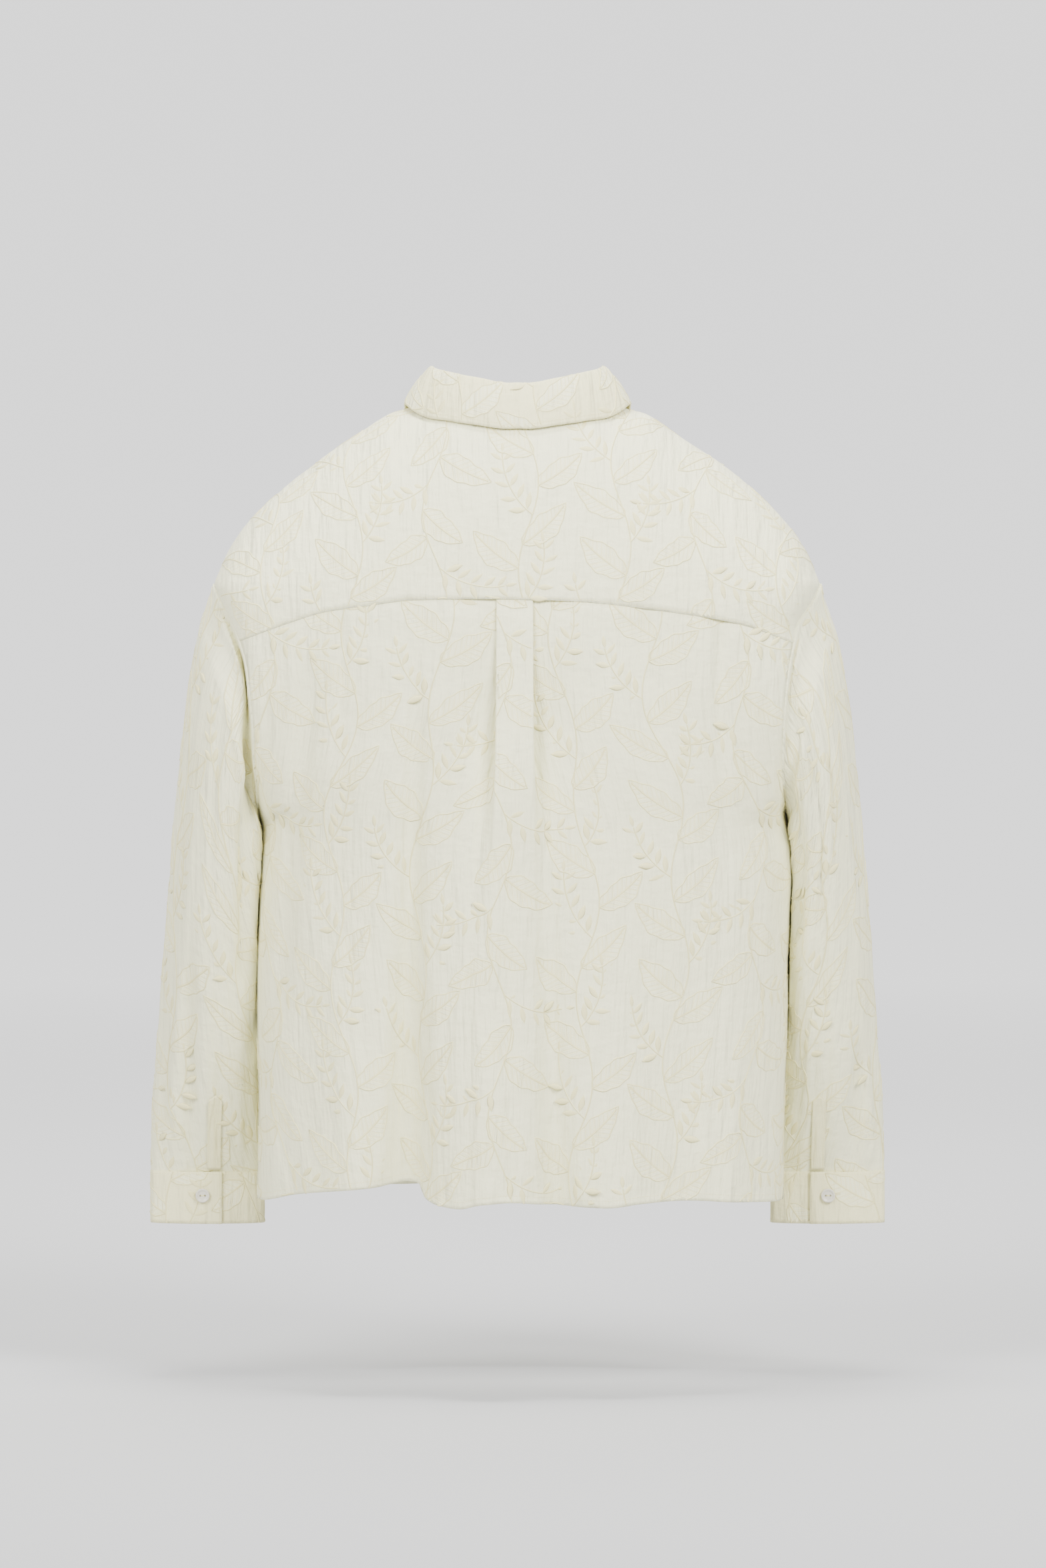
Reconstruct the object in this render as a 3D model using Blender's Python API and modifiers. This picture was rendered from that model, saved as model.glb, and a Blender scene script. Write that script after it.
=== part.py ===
"""Long-sleeved embroidered shirt in its worn form, hollow, with no wearer.

Metres, +Z up. The front of the shirt faces -Y and the wearer's left is +X.
The origin lies midway between the two neck-side shoulder points.
Every panel is an open sheet worked out from its cut and then given a wall.
"""
import bisect
import math
from collections import namedtuple

import bpy
import bmesh
import numpy as np
from mathutils import Matrix, Vector

# Walls and clearances.
CLOTH = 0.0012
DOUBLE_CLOTH = 0.0020
SEAM_GAP = 0.0003
LAYER_GAP = 0.0006
ARMHOLE_SEAM = 0.0016

# Body.
UNDERARM_Z = -0.368
ARMHOLE_TOP_X = 0.2735
ARMHOLE_TOP_Z = -0.1586
ARMHOLE_DEPTH_BACK = 0.078
ARMHOLE_DEPTH_FRONT = 0.074
SIDE_ROUNDING = 2.4
NECK_HALF_WIDTH = 0.085
NECK_DEPTH_BACK = 0.065
NECK_DEPTH_FRONT = 0.092
YOKE_FRONT_DROP = 0.018
FRONT_HEM_Z = -0.712

# Button stand at the centre front.
STAND_HALF_WIDTH = 0.016

# Box pleat at the centre back.
PLEAT_CENTRE_X = 0.0024
PLEAT_WIDTH = 0.0325
PLEAT_UNDERLAY = 0.0120
PLEAT_FOLD_RADIUS = 0.0011
PLEAT_PRESSED = math.pi
PLEAT_OPEN = 0.42

# How many columns and rows the panels share.
NECK_COLUMNS = 6
SHOULDER_COLUMNS = 10
YOKE_BACK_ROWS = 7
YOKE_FRONT_ROWS = 3
FRONT_ROWS = 16

# Collar.
STAND_TOP_HALF_WIDTH = 0.0758
STAND_TOP_BACK = 0.0590
STAND_TOP_FRONT = 0.0870
STAND_HEIGHT = 0.0275

# Cuffs.
CUFF_TOP_Z = -0.6961
CUFF_BOTTOM_Z = -0.7436
CUFF_CENTRE_X = 0.2831
CUFF_HALF_WIDTH = 0.0514
CUFF_HALF_DEPTH = 0.0165
CUFF_CENTRE_Y = -0.056
CUFF_OVERLAP = 0.026

# Buttons.
BUTTON_DIAMETER = 0.0115
CUFF_BUTTON_DIAMETER = 0.0130
BUTTON_THICKNESS = 0.0024
BUTTON_HOLE_DIAMETER = 0.0019
BUTTON_HOLE_SPACING = 0.0042

# The line along the top of the shoulders, from the middle out to the armhole.
Ridge = namedtuple("Ridge", "x z")
RIDGE = (
    Ridge(0.0000, 0.0340),
    Ridge(0.0300, 0.0305),
    Ridge(0.0600, 0.0195),
    Ridge(0.0850, 0.0050),
    Ridge(0.1000, -0.0005),
    Ridge(0.1140, -0.0040),
    Ridge(0.1287, -0.0128),
    Ridge(0.1480, -0.0262),
    Ridge(0.1845, -0.0506),
    Ridge(0.2144, -0.0750),
    Ridge(0.2397, -0.0994),
    Ridge(0.2583, -0.1238),
    Ridge(0.2696, -0.1482),
    Ridge(0.2735, -0.1586),
)

# How far from the middle each armhole seam lies, at each height.
Armhole = namedtuple("Armhole", "z left right")
ARMHOLE = (
    Armhole(-0.3680, 0.2336, 0.2440),
    Armhole(-0.3416, 0.2338, 0.2392),
    Armhole(-0.3166, 0.2355, 0.2374),
    Armhole(-0.2849, 0.2367, 0.2382),
    Armhole(-0.2532, 0.2397, 0.2402),
    Armhole(-0.2281, 0.2428, 0.2434),
    Armhole(-0.2092, 0.2483, 0.2475),
    Armhole(-0.1946, 0.2544, 0.2510),
    Armhole(-0.1732, 0.2665, 0.2655),
    Armhole(-0.1586, 0.2735, 0.2735),
)

# Sections of the body below the armholes.
Girth = namedtuple("Girth", "z left right back front")
GIRTH = (
    Girth(-0.7300, 0.2367, 0.2410, 0.1270, 0.1160),
    Girth(-0.6260, 0.2345, 0.2422, 0.1260, 0.1160),
    Girth(-0.5660, 0.2360, 0.2446, 0.1250, 0.1165),
    Girth(-0.5070, 0.2366, 0.2458, 0.1240, 0.1170),
    Girth(-0.4526, 0.2357, 0.2489, 0.1235, 0.1180),
    Girth(-0.4215, 0.2350, 0.2512, 0.1230, 0.1180),
    Girth(-0.3950, 0.2343, 0.2505, 0.1225, 0.1180),
    Girth(-0.3680, 0.2336, 0.2440, 0.1220, 0.1180),
)

# The seam between the back and its yoke.
Seam = namedtuple("Seam", "x z")
YOKE_SEAM = (
    Seam(-0.2475, -0.2090),
    Seam(-0.1995, -0.1915),
    Seam(-0.1293, -0.1790),
    Seam(-0.0476, -0.1700),
    Seam(0.0300, -0.1680),
    Seam(0.0921, -0.1690),
    Seam(0.1275, -0.1735),
    Seam(0.1708, -0.1800),
    Seam(0.2080, -0.1915),
    Seam(0.2483, -0.2070),
)

# The back hem.
BACK_HEM = (
    Seam(-0.2410, -0.7160),
    Seam(-0.2000, -0.7080),
    Seam(-0.1500, -0.7030),
    Seam(-0.0800, -0.7050),
    Seam(-0.0300, -0.7020),
    Seam(0.0150, -0.7000),
    Seam(0.0550, -0.7030),
    Seam(0.0820, -0.6990),
    Seam(0.1050, -0.6900),
    Seam(0.1500, -0.6970),
    Seam(0.2000, -0.7070),
    Seam(0.2367, -0.7160),
)

# The largest soft folds of the back. Each runs from its top to its bottom end,
# and its height above the panel grows from one end to the other.
Fold = namedtuple("Fold", "top_x top_z bottom_x bottom_z top_width bottom_width top_out bottom_out")
BACK_FOLDS = (
    Fold(0.0890, -0.1900, 0.1010, -0.7200, 0.0060, 0.0200, -0.0010, -0.0300),
    Fold(0.0300, -0.2900, 0.0330, -0.7200, 0.0200, 0.0330, 0.0000, 0.0180),
    Fold(-0.0165, -0.3000, -0.0340, -0.7200, 0.0080, 0.0160, -0.0010, -0.0170),
    Fold(0.1860, -0.2500, 0.2160, -0.5300, 0.0130, 0.0110, -0.0060, -0.0060),
    Fold(-0.1130, -0.1950, -0.1100, -0.3900, 0.0090, 0.0120, -0.0030, -0.0010),
    Fold(-0.1800, -0.1900, -0.1830, -0.4400, 0.0100, 0.0130, -0.0040, -0.0020),
    Fold(-0.0800, -0.4500, -0.0900, -0.7200, 0.0220, 0.0260, 0.0000, 0.0070),
    Fold(-0.1500, -0.4000, -0.1420, -0.7200, 0.0180, 0.0200, 0.0000, -0.0070),
    Fold(-0.1950, -0.5000, -0.1930, -0.7200, 0.0180, 0.0200, 0.0000, 0.0060),
    Fold(0.1500, -0.4300, 0.1520, -0.7200, 0.0180, 0.0220, 0.0000, 0.0090),
    Fold(0.1950, -0.5300, 0.1960, -0.7200, 0.0130, 0.0150, 0.0000, -0.0050),
)
FRONT_FOLDS = (
    Fold(0.0950, -0.3600, 0.1000, -0.7200, 0.0180, 0.0240, 0.0000, -0.0110),
    Fold(0.1550, -0.2600, 0.1600, -0.7200, 0.0180, 0.0220, -0.0020, 0.0080),
    Fold(-0.0900, -0.3800, -0.0950, -0.7200, 0.0180, 0.0240, 0.0000, -0.0100),
    Fold(-0.1550, -0.2600, -0.1620, -0.7200, 0.0180, 0.0220, -0.0020, 0.0080),
)

# Sections of a sleeve, from the armhole to the cuff. The outer point lies on the
# line that shows from the front, and the inner one beside the body.
Section = namedtuple("Section", "outer_x outer_z inner_z depth centre_y gap_left gap_right")
SLEEVE = (
    Section(0.2735, -0.1586, -0.3680, 0.0770, 0.0020, 0.0000, 0.0000),
    Section(0.2893, -0.2031, -0.3850, 0.0790, -0.0040, 0.0040, 0.0060),
    Section(0.3000, -0.2641, -0.4050, 0.0800, -0.0100, 0.0040, 0.0080),
    Section(0.3066, -0.3251, -0.4320, 0.0780, -0.0160, 0.0035, 0.0080),
    Section(0.3122, -0.3861, -0.4650, 0.0740, -0.0220, 0.0030, 0.0060),
    Section(0.3196, -0.4770, -0.5200, 0.0660, -0.0310, 0.0030, 0.0040),
    Section(0.3272, -0.5690, -0.5900, 0.0520, -0.0420, 0.0030, 0.0030),
    Section(0.3320, -0.6301, -0.6400, 0.0370, -0.0500, 0.0030, 0.0030),
    Section(0.3345, -0.6955, -0.6955, 0.0165, -0.0560, 0.0030, 0.0030),
)

# The lower edge of the collar's leaf, from the middle back (0) to its point (1).
Leaf = namedtuple("Leaf", "around x z")
LEAF = (
    Leaf(0.00, 0.0000, 0.0000),
    Leaf(0.25, 0.0620, 0.0000),
    Leaf(0.50, 0.1020, 0.0000),
    Leaf(0.70, 0.0990, -0.0380),
    Leaf(0.85, 0.0820, -0.0820),
    Leaf(1.00, 0.0570, -0.1260),
)

# Creases of a sleeve: place round it in degrees from its outer line towards the
# back, at the upper and the lower end, and how deep they go.
Crease = namedtuple("Crease", "top_angle top_v bottom_angle bottom_v width depth")
SLEEVE_CREASES_LEFT = (
    Crease(64.0, 5.2, 74.0, 8.0, 9.0, 0.0060),
    Crease(120.0, 0.4, 128.0, 5.0, 12.0, 0.0060),
    Crease(-70.0, 4.6, -82.0, 8.0, 10.0, 0.0050),
)
SLEEVE_CREASES_RIGHT = (
    Crease(52.0, 6.2, 66.0, 8.0, 9.0, 0.0050),
    Crease(96.0, 1.2, 100.0, 5.5, 10.0, 0.0045),
    Crease(132.0, 0.6, 134.0, 4.4, 11.0, 0.0050),
    Crease(-74.0, 4.8, -84.0, 8.0, 10.0, 0.0050),
)


class Line:
    """A smooth line through the rows of a table, held level past its ends."""

    def __init__(self, keys, values):
        self.keys = list(keys)
        self.values = list(values)
        self.slopes = [
            (self.values[k + 1] - self.values[k]) / (self.keys[k + 1] - self.keys[k])
            for k in range(len(self.keys) - 1)
        ]
        self.tangents = [self.slopes[0]]
        for before, after in zip(self.slopes, self.slopes[1:]):
            self.tangents.append(2 * before * after / (before + after) if before * after > 0 else 0.0)
        self.tangents.append(self.slopes[-1])

    def __call__(self, at):
        k = min(max(bisect.bisect_right(self.keys, at) - 1, 0), len(self.keys) - 2)
        h = self.keys[k + 1] - self.keys[k]
        t = min(max((at - self.keys[k]) / h, 0.0), 1.0)
        return (
            self.values[k] * (1 + 2 * t) * (1 - t) ** 2
            + self.tangents[k] * h * t * (1 - t) ** 2
            + self.values[k + 1] * t * t * (3 - 2 * t)
            + self.tangents[k + 1] * h * t * t * (t - 1)
        )


def table_line(table, key, name):
    return Line([getattr(row, key) for row in table], [getattr(row, name) for row in table])


RIDGE_LINE = table_line(RIDGE, "x", "z")
ARMHOLE_LINES = {True: table_line(ARMHOLE, "z", "left"), False: table_line(ARMHOLE, "z", "right")}
SIDE_LINES = {True: table_line(GIRTH, "z", "left"), False: table_line(GIRTH, "z", "right")}
DEPTH_LINES = {True: table_line(GIRTH, "z", "back"), False: table_line(GIRTH, "z", "front")}
YOKE_SEAM_LINE = table_line(YOKE_SEAM, "x", "z")
BACK_HEM_LINE = table_line(BACK_HEM, "x", "z")
SLEEVE_LINES = {
    name: Line(range(len(SLEEVE)), [getattr(row, name) for row in SLEEVE])
    for name in Section._fields
}
LEAF_X_LINE = table_line(LEAF, "around", "x")
LEAF_Z_LINE = table_line(LEAF[2:], "around", "z")


def ease(value):
    value = min(max(value, 0.0), 1.0)
    return value * value * (3 - 2 * value)


def ridge_z(x):
    return RIDGE_LINE(abs(x))


def half_width(z, left):
    """Half width of the body at a height, to the armhole seam or the side seam."""
    return ARMHOLE_LINES[left](z) if z >= UNDERARM_Z else SIDE_LINES[left](z)


def body_depth(x, z, back):
    """How far the smooth body lies behind or before the middle plane."""
    share = min(abs(x) / half_width(z, x >= 0), 1.0)
    girth = DEPTH_LINES[back](z)
    top = ridge_z(share * ARMHOLE_TOP_X)
    rise = min(max((z - UNDERARM_Z) / (top - UNDERARM_Z), 0.0), 1.0)
    middle = girth * math.sqrt(1 - rise ** (3.0 if back else 2.6))
    armhole = (ARMHOLE_DEPTH_BACK if back else ARMHOLE_DEPTH_FRONT) * math.sqrt(4 * rise * (1 - rise))
    falloff = 0.5 + 0.35 * ease(rise / 0.35)
    return armhole + (middle - armhole) * (1 - share ** SIDE_ROUNDING) ** falloff


def fold_height(folds, x, z):
    """Height of the soft folds at a place on a panel."""
    total = 0.0
    for fold in folds:
        down = min(max((fold.top_z - z) / (fold.top_z - fold.bottom_z), 0.0), 1.15)
        centre = fold.top_x + (fold.bottom_x - fold.top_x) * down
        width = fold.top_width + (fold.bottom_width - fold.top_width) * down
        height = fold.top_out + (fold.bottom_out - fold.top_out) * down
        start = ease((fold.top_z + 0.04 - z) / 0.05)
        end = ease((z - fold.bottom_z + 0.06) / 0.05)
        total += height * start * end * math.exp(-((x - centre) / width) ** 2)
    return total


def panel_depth(x, z, back):
    """The body's depth with its soft folds, which die out at the side seams."""
    edge = 1 - min(abs(x) / half_width(z, x >= 0), 1.0)
    folds = BACK_FOLDS if back else FRONT_FOLDS
    return body_depth(x, z, back) + fold_height(folds, x, z) * ease(edge / 0.10)


def back_point(x, z):
    """Depth of the back. It stops just behind the side seams."""
    return panel_depth(x, z, True) + 0.7 * SEAM_GAP


def front_point(x, z):
    """Depth of a front. It stops just before the side seams."""
    return -panel_depth(x, z, False) - 0.7 * SEAM_GAP


def height_at(x, y, back):
    """Height of the shoulders above a point of the plan, by halving."""
    low = UNDERARM_Z
    high = ridge_z(x)
    for _ in range(40):
        middle = 0.5 * (low + high)
        if body_depth(x, middle, back) > abs(y):
            low = middle
        else:
            high = middle
    return 0.5 * (low + high)


def neck_point(angle):
    """A point of the neck seam. The angle is 0 at the back and 180 at the front."""
    x = NECK_HALF_WIDTH * math.sin(angle)
    depth = NECK_DEPTH_BACK if math.cos(angle) > 0 else NECK_DEPTH_FRONT
    y = depth * math.cos(angle)
    z = height_at(x, y, y > 0)
    return np.array((x, y, z))


def sheet_object(name, blocks, wall, material, offset=0.0):
    """Joins grids of points into one open sheet and gives it a wall.

    Each block is rows of points. Points that fall together are joined, so
    blocks that share a column or a ring that closes come out as one sheet.
    """
    mesh = bpy.data.meshes.new(name)
    builder = bmesh.new()
    for block in blocks:
        grid = [[builder.verts.new(Vector(point)) for point in row] for row in block]
        for upper, lower in zip(grid, grid[1:]):
            for a, b, c, d in zip(upper, upper[1:], lower[1:], lower):
                builder.faces.new((a, b, c, d))
    bmesh.ops.remove_doubles(builder, verts=builder.verts[:], dist=0.00002)
    builder.normal_update()
    builder.to_mesh(mesh)
    builder.free()
    mesh.shade_smooth()
    item = bpy.data.objects.new(name, mesh)
    mesh.materials.append(material)
    SHIRT.objects.link(item)
    solid = item.modifiers.new("wall", "SOLIDIFY")
    solid.thickness = wall
    solid.offset = offset
    solid.use_even_offset = True
    solid.use_quality_normals = True
    return item


def make_material(name, colour, roughness):
    material = bpy.data.materials.new(name)
    material.use_nodes = True
    shader = material.node_tree.nodes["Principled BSDF"]
    shader.inputs["Base Color"].default_value = (*colour, 1.0)
    shader.inputs["Roughness"].default_value = roughness
    shader.inputs["Metallic"].default_value = 0.0
    material.diffuse_color = (*colour, 1.0)
    return material


def pleat_section(opening):
    """Plan of the box pleat: how far right and how far out each of its points lies.

    opening is the angle that the folded sides turn back by, half a turn where
    the pleat is pressed flat. The cloth runs under the strip, turns back to
    the strip's edge, and turns again to become the strip.
    """
    turn = math.pi * PLEAT_FOLD_RADIUS
    lengths = []
    angles = []
    fractions = (0.17, 0.5, 0.83)
    for part in fractions:
        lengths.append(turn / 3)
        angles.append(opening * part)
    lengths.append(PLEAT_UNDERLAY)
    angles.append(opening)
    for part in reversed(fractions):
        lengths.append(turn / 3)
        angles.append(opening * part)
    strip = PLEAT_WIDTH - 2 * PLEAT_FOLD_RADIUS
    side_lengths = lengths
    side_angles = angles
    lengths = side_lengths + [strip / 3] * 3 + side_lengths
    angles = side_angles + [0.0] * 3 + [-a for a in side_angles]
    across = [0.0]
    out = [0.0]
    for length, angle in zip(lengths, angles):
        across.append(across[-1] + length * math.cos(angle))
        out.append(out[-1] + length * math.sin(angle))
    across = np.array(across)
    out = np.array(out)
    return across - across.mean(), out


def column_shares():
    """Places of the columns from the middle to the armhole, as shares of the width.

    The back, the yoke and the fronts use the same ones, so they meet all along.
    """
    neck = NECK_HALF_WIDTH / ARMHOLE_TOP_X
    inner = [neck * math.sin(0.5 * math.pi * k / NECK_COLUMNS) for k in range(NECK_COLUMNS + 1)]
    outer = [neck + (1 - neck) * shoulder_part(k) for k in range(1, SHOULDER_COLUMNS + 1)]
    return inner + outer


def shoulder_part(k):
    return math.sin(0.5 * math.pi * k / SHOULDER_COLUMNS) ** 0.95


def pleat_at(down):
    """The pleat's section at a share of the way down, and how far it has opened."""
    opened = ease((down - 0.06) / 0.62)
    across, out = pleat_section(PLEAT_PRESSED * (1 - opened) + PLEAT_OPEN * opened)
    spread = 1 + 0.30 * ease((down - 0.2) / 0.8)
    level = (1 - opened) * (out.max() - 0.0015)
    return [PLEAT_CENTRE_X + x * spread for x in across], [n - level for n in out], level


def back_columns(down, left):
    """Where the columns beside the pleat lie on a row, as a function of the width."""
    shares = column_shares()[1:]
    sign = 1.0 if left else -1.0
    top_x, _, _ = pleat_at(0.0)
    top_edge = abs(top_x[-1] if left else top_x[0])
    here_x, _, _ = pleat_at(down)
    edge = abs(here_x[-1] if left else here_x[0])
    columns = []
    for share in shares:
        top_width = half_width(back_seam_z(share, left), left)
        part = (share * top_width - top_edge) / (top_width - top_edge)
        columns.append(lambda width, part=part: sign * (edge + (width - edge) * part))
    return columns


def back_place(down, left, place):
    """Height and x of a column at a share of the way from the seam to the hem."""
    x = 0.0
    z = -0.169 - 0.53 * down
    for _ in range(7):
        x = place(half_width(z, left))
        seam = YOKE_SEAM_LINE(x) - 0.5 * SEAM_GAP
        z = seam + (BACK_HEM_LINE(x) - seam) * down
    return x, z


def build_back(material):
    rows = 20
    grid = []
    for row in range(rows + 1):
        down = row / rows
        across, out, level = pleat_at(down)
        points = []
        for place in reversed(back_columns(down, False)):
            x, z = back_place(down, False, place)
            sunk = level * math.exp(-(max(0.0, abs(x) - 0.018) / 0.026) ** 2)
            points.append((x, back_point(x, z) - sunk, z))
        for x, n in zip(across, out):
            x, z = back_place(down, x >= 0, lambda width, x=x: x)
            points.append((x, back_point(x, z) + n, z))
        for place in back_columns(down, True):
            x, z = back_place(down, True, place)
            sunk = level * math.exp(-(max(0.0, abs(x) - 0.018) / 0.026) ** 2)
            points.append((x, back_point(x, z) - sunk, z))
        grid.append(points)
    return sheet_object("back", [grid], CLOTH, material)


def surface_from_ridge(share, left, drop_share, seam_z, back):
    """A point over the shoulder, measured from the ridge (0) to a seam (1)."""
    sign = 1.0 if left else -1.0
    top = ridge_z(share * ARMHOLE_TOP_X)
    z = top + (seam_z - top) * drop_share ** 2
    width = half_width(z, left)
    x = sign * share * width
    y = body_depth(x, z, back)
    if not back:
        y = -y
    return (x, y, z)


def back_seam_z(share, left):
    """Height of the yoke's back seam on the line with this share of the width."""
    sign = 1.0 if left else -1.0
    z = -0.18
    for _ in range(8):
        x = sign * share * half_width(z, left)
        z = YOKE_SEAM_LINE(x) + 0.5 * SEAM_GAP
    return z


def front_seam_z(share):
    return ridge_z(share * ARMHOLE_TOP_X) - YOKE_FRONT_DROP


def neck_share_front(drop_share):
    """Where a row of the yoke before the ridge meets the neck seam."""
    share = NECK_HALF_WIDTH / ARMHOLE_TOP_X
    for _ in range(12):
        point = surface_from_ridge(share, True, drop_share, front_seam_z(share), False)
        x = NECK_HALF_WIDTH * math.sqrt(max(0.0, 1 - (point[1] / NECK_DEPTH_FRONT) ** 2))
        share = x / ARMHOLE_TOP_X
    return share


def neck_drop_back(share):
    """How far down from the ridge the back neck seam lies, on the seam's own scale."""
    x = share * ARMHOLE_TOP_X
    depth = NECK_DEPTH_BACK * math.sqrt(max(0.0, 1 - (x / NECK_HALF_WIDTH) ** 2))
    z = height_at(x, depth, True)
    top = ridge_z(x)
    seam = back_seam_z(share, True)
    return math.sqrt(max(0.0, (top - z) / (top - seam)))


def build_yoke(material):
    rows_back = YOKE_BACK_ROWS
    rows_front = YOKE_FRONT_ROWS
    middle_columns = NECK_COLUMNS
    side_columns = SHOULDER_COLUMNS
    neck_share = NECK_HALF_WIDTH / ARMHOLE_TOP_X
    blocks = []
    # The middle, from the seam up to the back neck.
    grid = []
    for row in range(rows_back + 1):
        points = []
        for k in range(-middle_columns, middle_columns + 1):
            share = neck_share * math.sin(0.5 * math.pi * abs(k) / middle_columns)
            left = k >= 0
            start = neck_drop_back(share) if abs(k) < middle_columns else 0.0
            drop = start + (1 - start) * (1 - row / rows_back)
            points.append(surface_from_ridge(share, left, drop, back_seam_z(share, left), True))
        grid.append(points)
    blocks.append(grid)
    # Each shoulder, from the back seam over the ridge to the front seam.
    for left in (True, False):
        grid = []
        for row in range(rows_back + rows_front + 1):
            points = []
            for k in range(side_columns + 1):
                part = shoulder_part(k)
                if row <= rows_back:
                    share = neck_share + (1 - neck_share) * part
                    drop = 1 - row / rows_back
                    point = surface_from_ridge(share, left, drop, back_seam_z(share, left), True)
                else:
                    drop = (row - rows_back) / rows_front
                    inner = neck_share_front(drop)
                    share = inner + (1 - inner) * part
                    seam = front_seam_z(share) + 0.5 * SEAM_GAP
                    point = surface_from_ridge(share, left, drop, seam, False)
                points.append(point)
            grid.append(points if left else points[::-1])
        blocks.append(grid)
    return sheet_object("yoke", blocks, CLOTH, material)


def front_top_z(share):
    """Top edge of a front: the neck seam near the middle, then the yoke's seam."""
    z = front_seam_z(share) - 0.5 * SEAM_GAP
    x = share * ARMHOLE_TOP_X
    if x < NECK_HALF_WIDTH:
        depth = NECK_DEPTH_FRONT * math.sqrt(1 - (x / NECK_HALF_WIDTH) ** 2)
        z = min(z, height_at(x, depth, False))
    return z


def front_lift(x):
    """The left front lies over the right one along the button stand."""
    return (CLOTH + LAYER_GAP + 0.0002) * ease((STAND_HALF_WIDTH + 0.016 - x) / 0.014)


def front_rows():
    return [(row / FRONT_ROWS) ** 1.08 for row in range(FRONT_ROWS + 1)]


def front_place(down, left, share, middle_x=None):
    """Height and x of a front's column at a share of the way down to the hem."""
    top = front_top_z(share if middle_x is None else abs(middle_x) / ARMHOLE_TOP_X)
    hem = FRONT_HEM_Z - 0.004 * share ** 2
    z = top + (hem - top) * down
    x = share * half_width(z, left) if middle_x is None else middle_x
    return x, z


def build_front(name, left, material):
    corner = neck_share_front(1.0)
    # Columns from the front edge to the yoke's corner, then to the armhole.
    places = [(0.0, -STAND_HALF_WIDTH)]
    places += [(0.0, NECK_HALF_WIDTH * math.sin(math.radians(15.0 * k))) for k in range(4)]
    for k in range(SHOULDER_COLUMNS + 1):
        places.append((corner + (1 - corner) * shoulder_part(k), None))
    grid = []
    for down in front_rows():
        points = []
        for share, middle_x in places:
            x, z = front_place(down, left, share, middle_x)
            place = x if left else -x
            y = front_point(place, z)
            if left:
                y -= front_lift(x)
            points.append((place, y, z))
        grid.append(points if left else points[::-1])
    return sheet_object(name, [grid], CLOTH, material)


def collar_angles(last):
    """Places round the neck in degrees, from the wearer's right front to the left."""
    steps = [15.0 * k for k in range(-11, 12)]
    return [-angle for angle in reversed(last)] + steps + list(last)


def collar_lift(angle):
    """The left end of the collar's stand lies over the right one at the front."""
    return (DOUBLE_CLOTH + LAYER_GAP) * ease((angle - math.pi + 0.32) / 0.22)


def collar_frame(angle):
    """Foot of the collar's stand, its top, and the way outwards in plan."""
    raised = 0.0010 + 0.0022 * max(0.0, -math.cos(angle))
    raised += 0.0010 * math.exp(-((abs(math.degrees(angle)) - 98.0) / 14.0) ** 2)
    foot = neck_point(angle) + np.array((0.0, 0.0, raised))
    top_depth = STAND_TOP_BACK if math.cos(angle) > 0 else STAND_TOP_FRONT
    rise = STAND_HEIGHT - 0.0025 * max(0.0, -math.cos(angle))
    top = np.array((STAND_TOP_HALF_WIDTH * math.sin(angle), top_depth * math.cos(angle), foot[2] + rise))
    out = np.array((math.sin(angle) / NECK_HALF_WIDTH, math.cos(angle) / NECK_DEPTH_FRONT, 0.0))
    out = out / np.linalg.norm(out)
    lift = collar_lift(angle)
    return foot + out * lift, top + out * lift, out


def build_collar_stand(material):
    rows = 2
    grid = []
    for row in range(rows + 1):
        up = row / rows
        points = []
        for angle in collar_angles((174.0, 180.0, 189.5)):
            foot, top, out = collar_frame(math.radians(angle))
            point = foot + (top - foot) * up + out * 0.0012 * math.sin(math.pi * up)
            points.append(tuple(point))
        grid.append(points)
    return sheet_object("collar_stand", [grid], DOUBLE_CLOTH, material)


def leaf_edge(around):
    """Lower edge of the collar's leaf, from the middle back (0) to its point (1)."""
    x = LEAF_X_LINE(around)
    clear = 0.5 * CLOTH + 0.5 * DOUBLE_CLOTH + 0.0006
    clear += 0.0038 * math.exp(-((around - 0.50) / 0.11) ** 2)
    if around <= 0.5:
        turn = math.asin(min(1.0, x / 0.1020))
        y = 0.0715 * math.cos(turn)
        z = height_at(x, y, True)
        return np.array((x, y + clear * math.cos(turn), z + clear))
    z = min(LEAF_Z_LINE(around), ridge_z(x) - 0.00005)
    y = -body_depth(x, z, False)
    return np.array((x, y - clear * 1.2, z + clear))


def build_collar_leaf(material):
    hook = ((0.0, 0.0014), (0.0003, 0.0027), (0.0017, 0.0036), (0.0035, 0.0027))
    below = 5
    grid = [[] for _ in range(len(hook) + below)]
    for degrees in collar_angles((174.0,)):
        angle = math.radians(degrees)
        foot, top, out = collar_frame(angle)
        around = abs(degrees) / 174.0
        # On the wearer's right it also passes outside the stand's left end.
        wide = 1.25 * collar_lift(abs(angle)) if angle < 0 else 0.0
        for index, (outwards, up) in enumerate(hook):
            point = top + out * (outwards + wide * index / 3) + np.array((0.0, 0.0, up))
            grid[index].append(tuple(point))
        start = np.array(grid[len(hook) - 1][-1])
        end = leaf_edge(around)
        if angle < 0:
            end = end * np.array((-1.0, 1.0, 1.0))
        span = np.linalg.norm(end - start)
        middle = 0.5 * (start + end) + out * 0.10 * span + np.array((0.0, 0.0, 0.04 * span))
        for k in range(1, below + 1):
            t = k / below
            point = start * (1 - t) ** 2 + 2 * middle * t * (1 - t) + end * t * t
            grid[len(hook) + k - 1].append(tuple(point))
    return sheet_object("collar_leaf", [grid], DOUBLE_CLOTH, material)


def side_x(y, z, left):
    """Where the body's side lies at this depth and height."""
    width = half_width(min(z, UNDERARM_Z), left)
    depth = DEPTH_LINES[y > 0](min(z, UNDERARM_Z))
    share = min(1.0, abs(y) / depth)
    return width * (1 - share ** 2) ** (1 / SIDE_ROUNDING)


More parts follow.
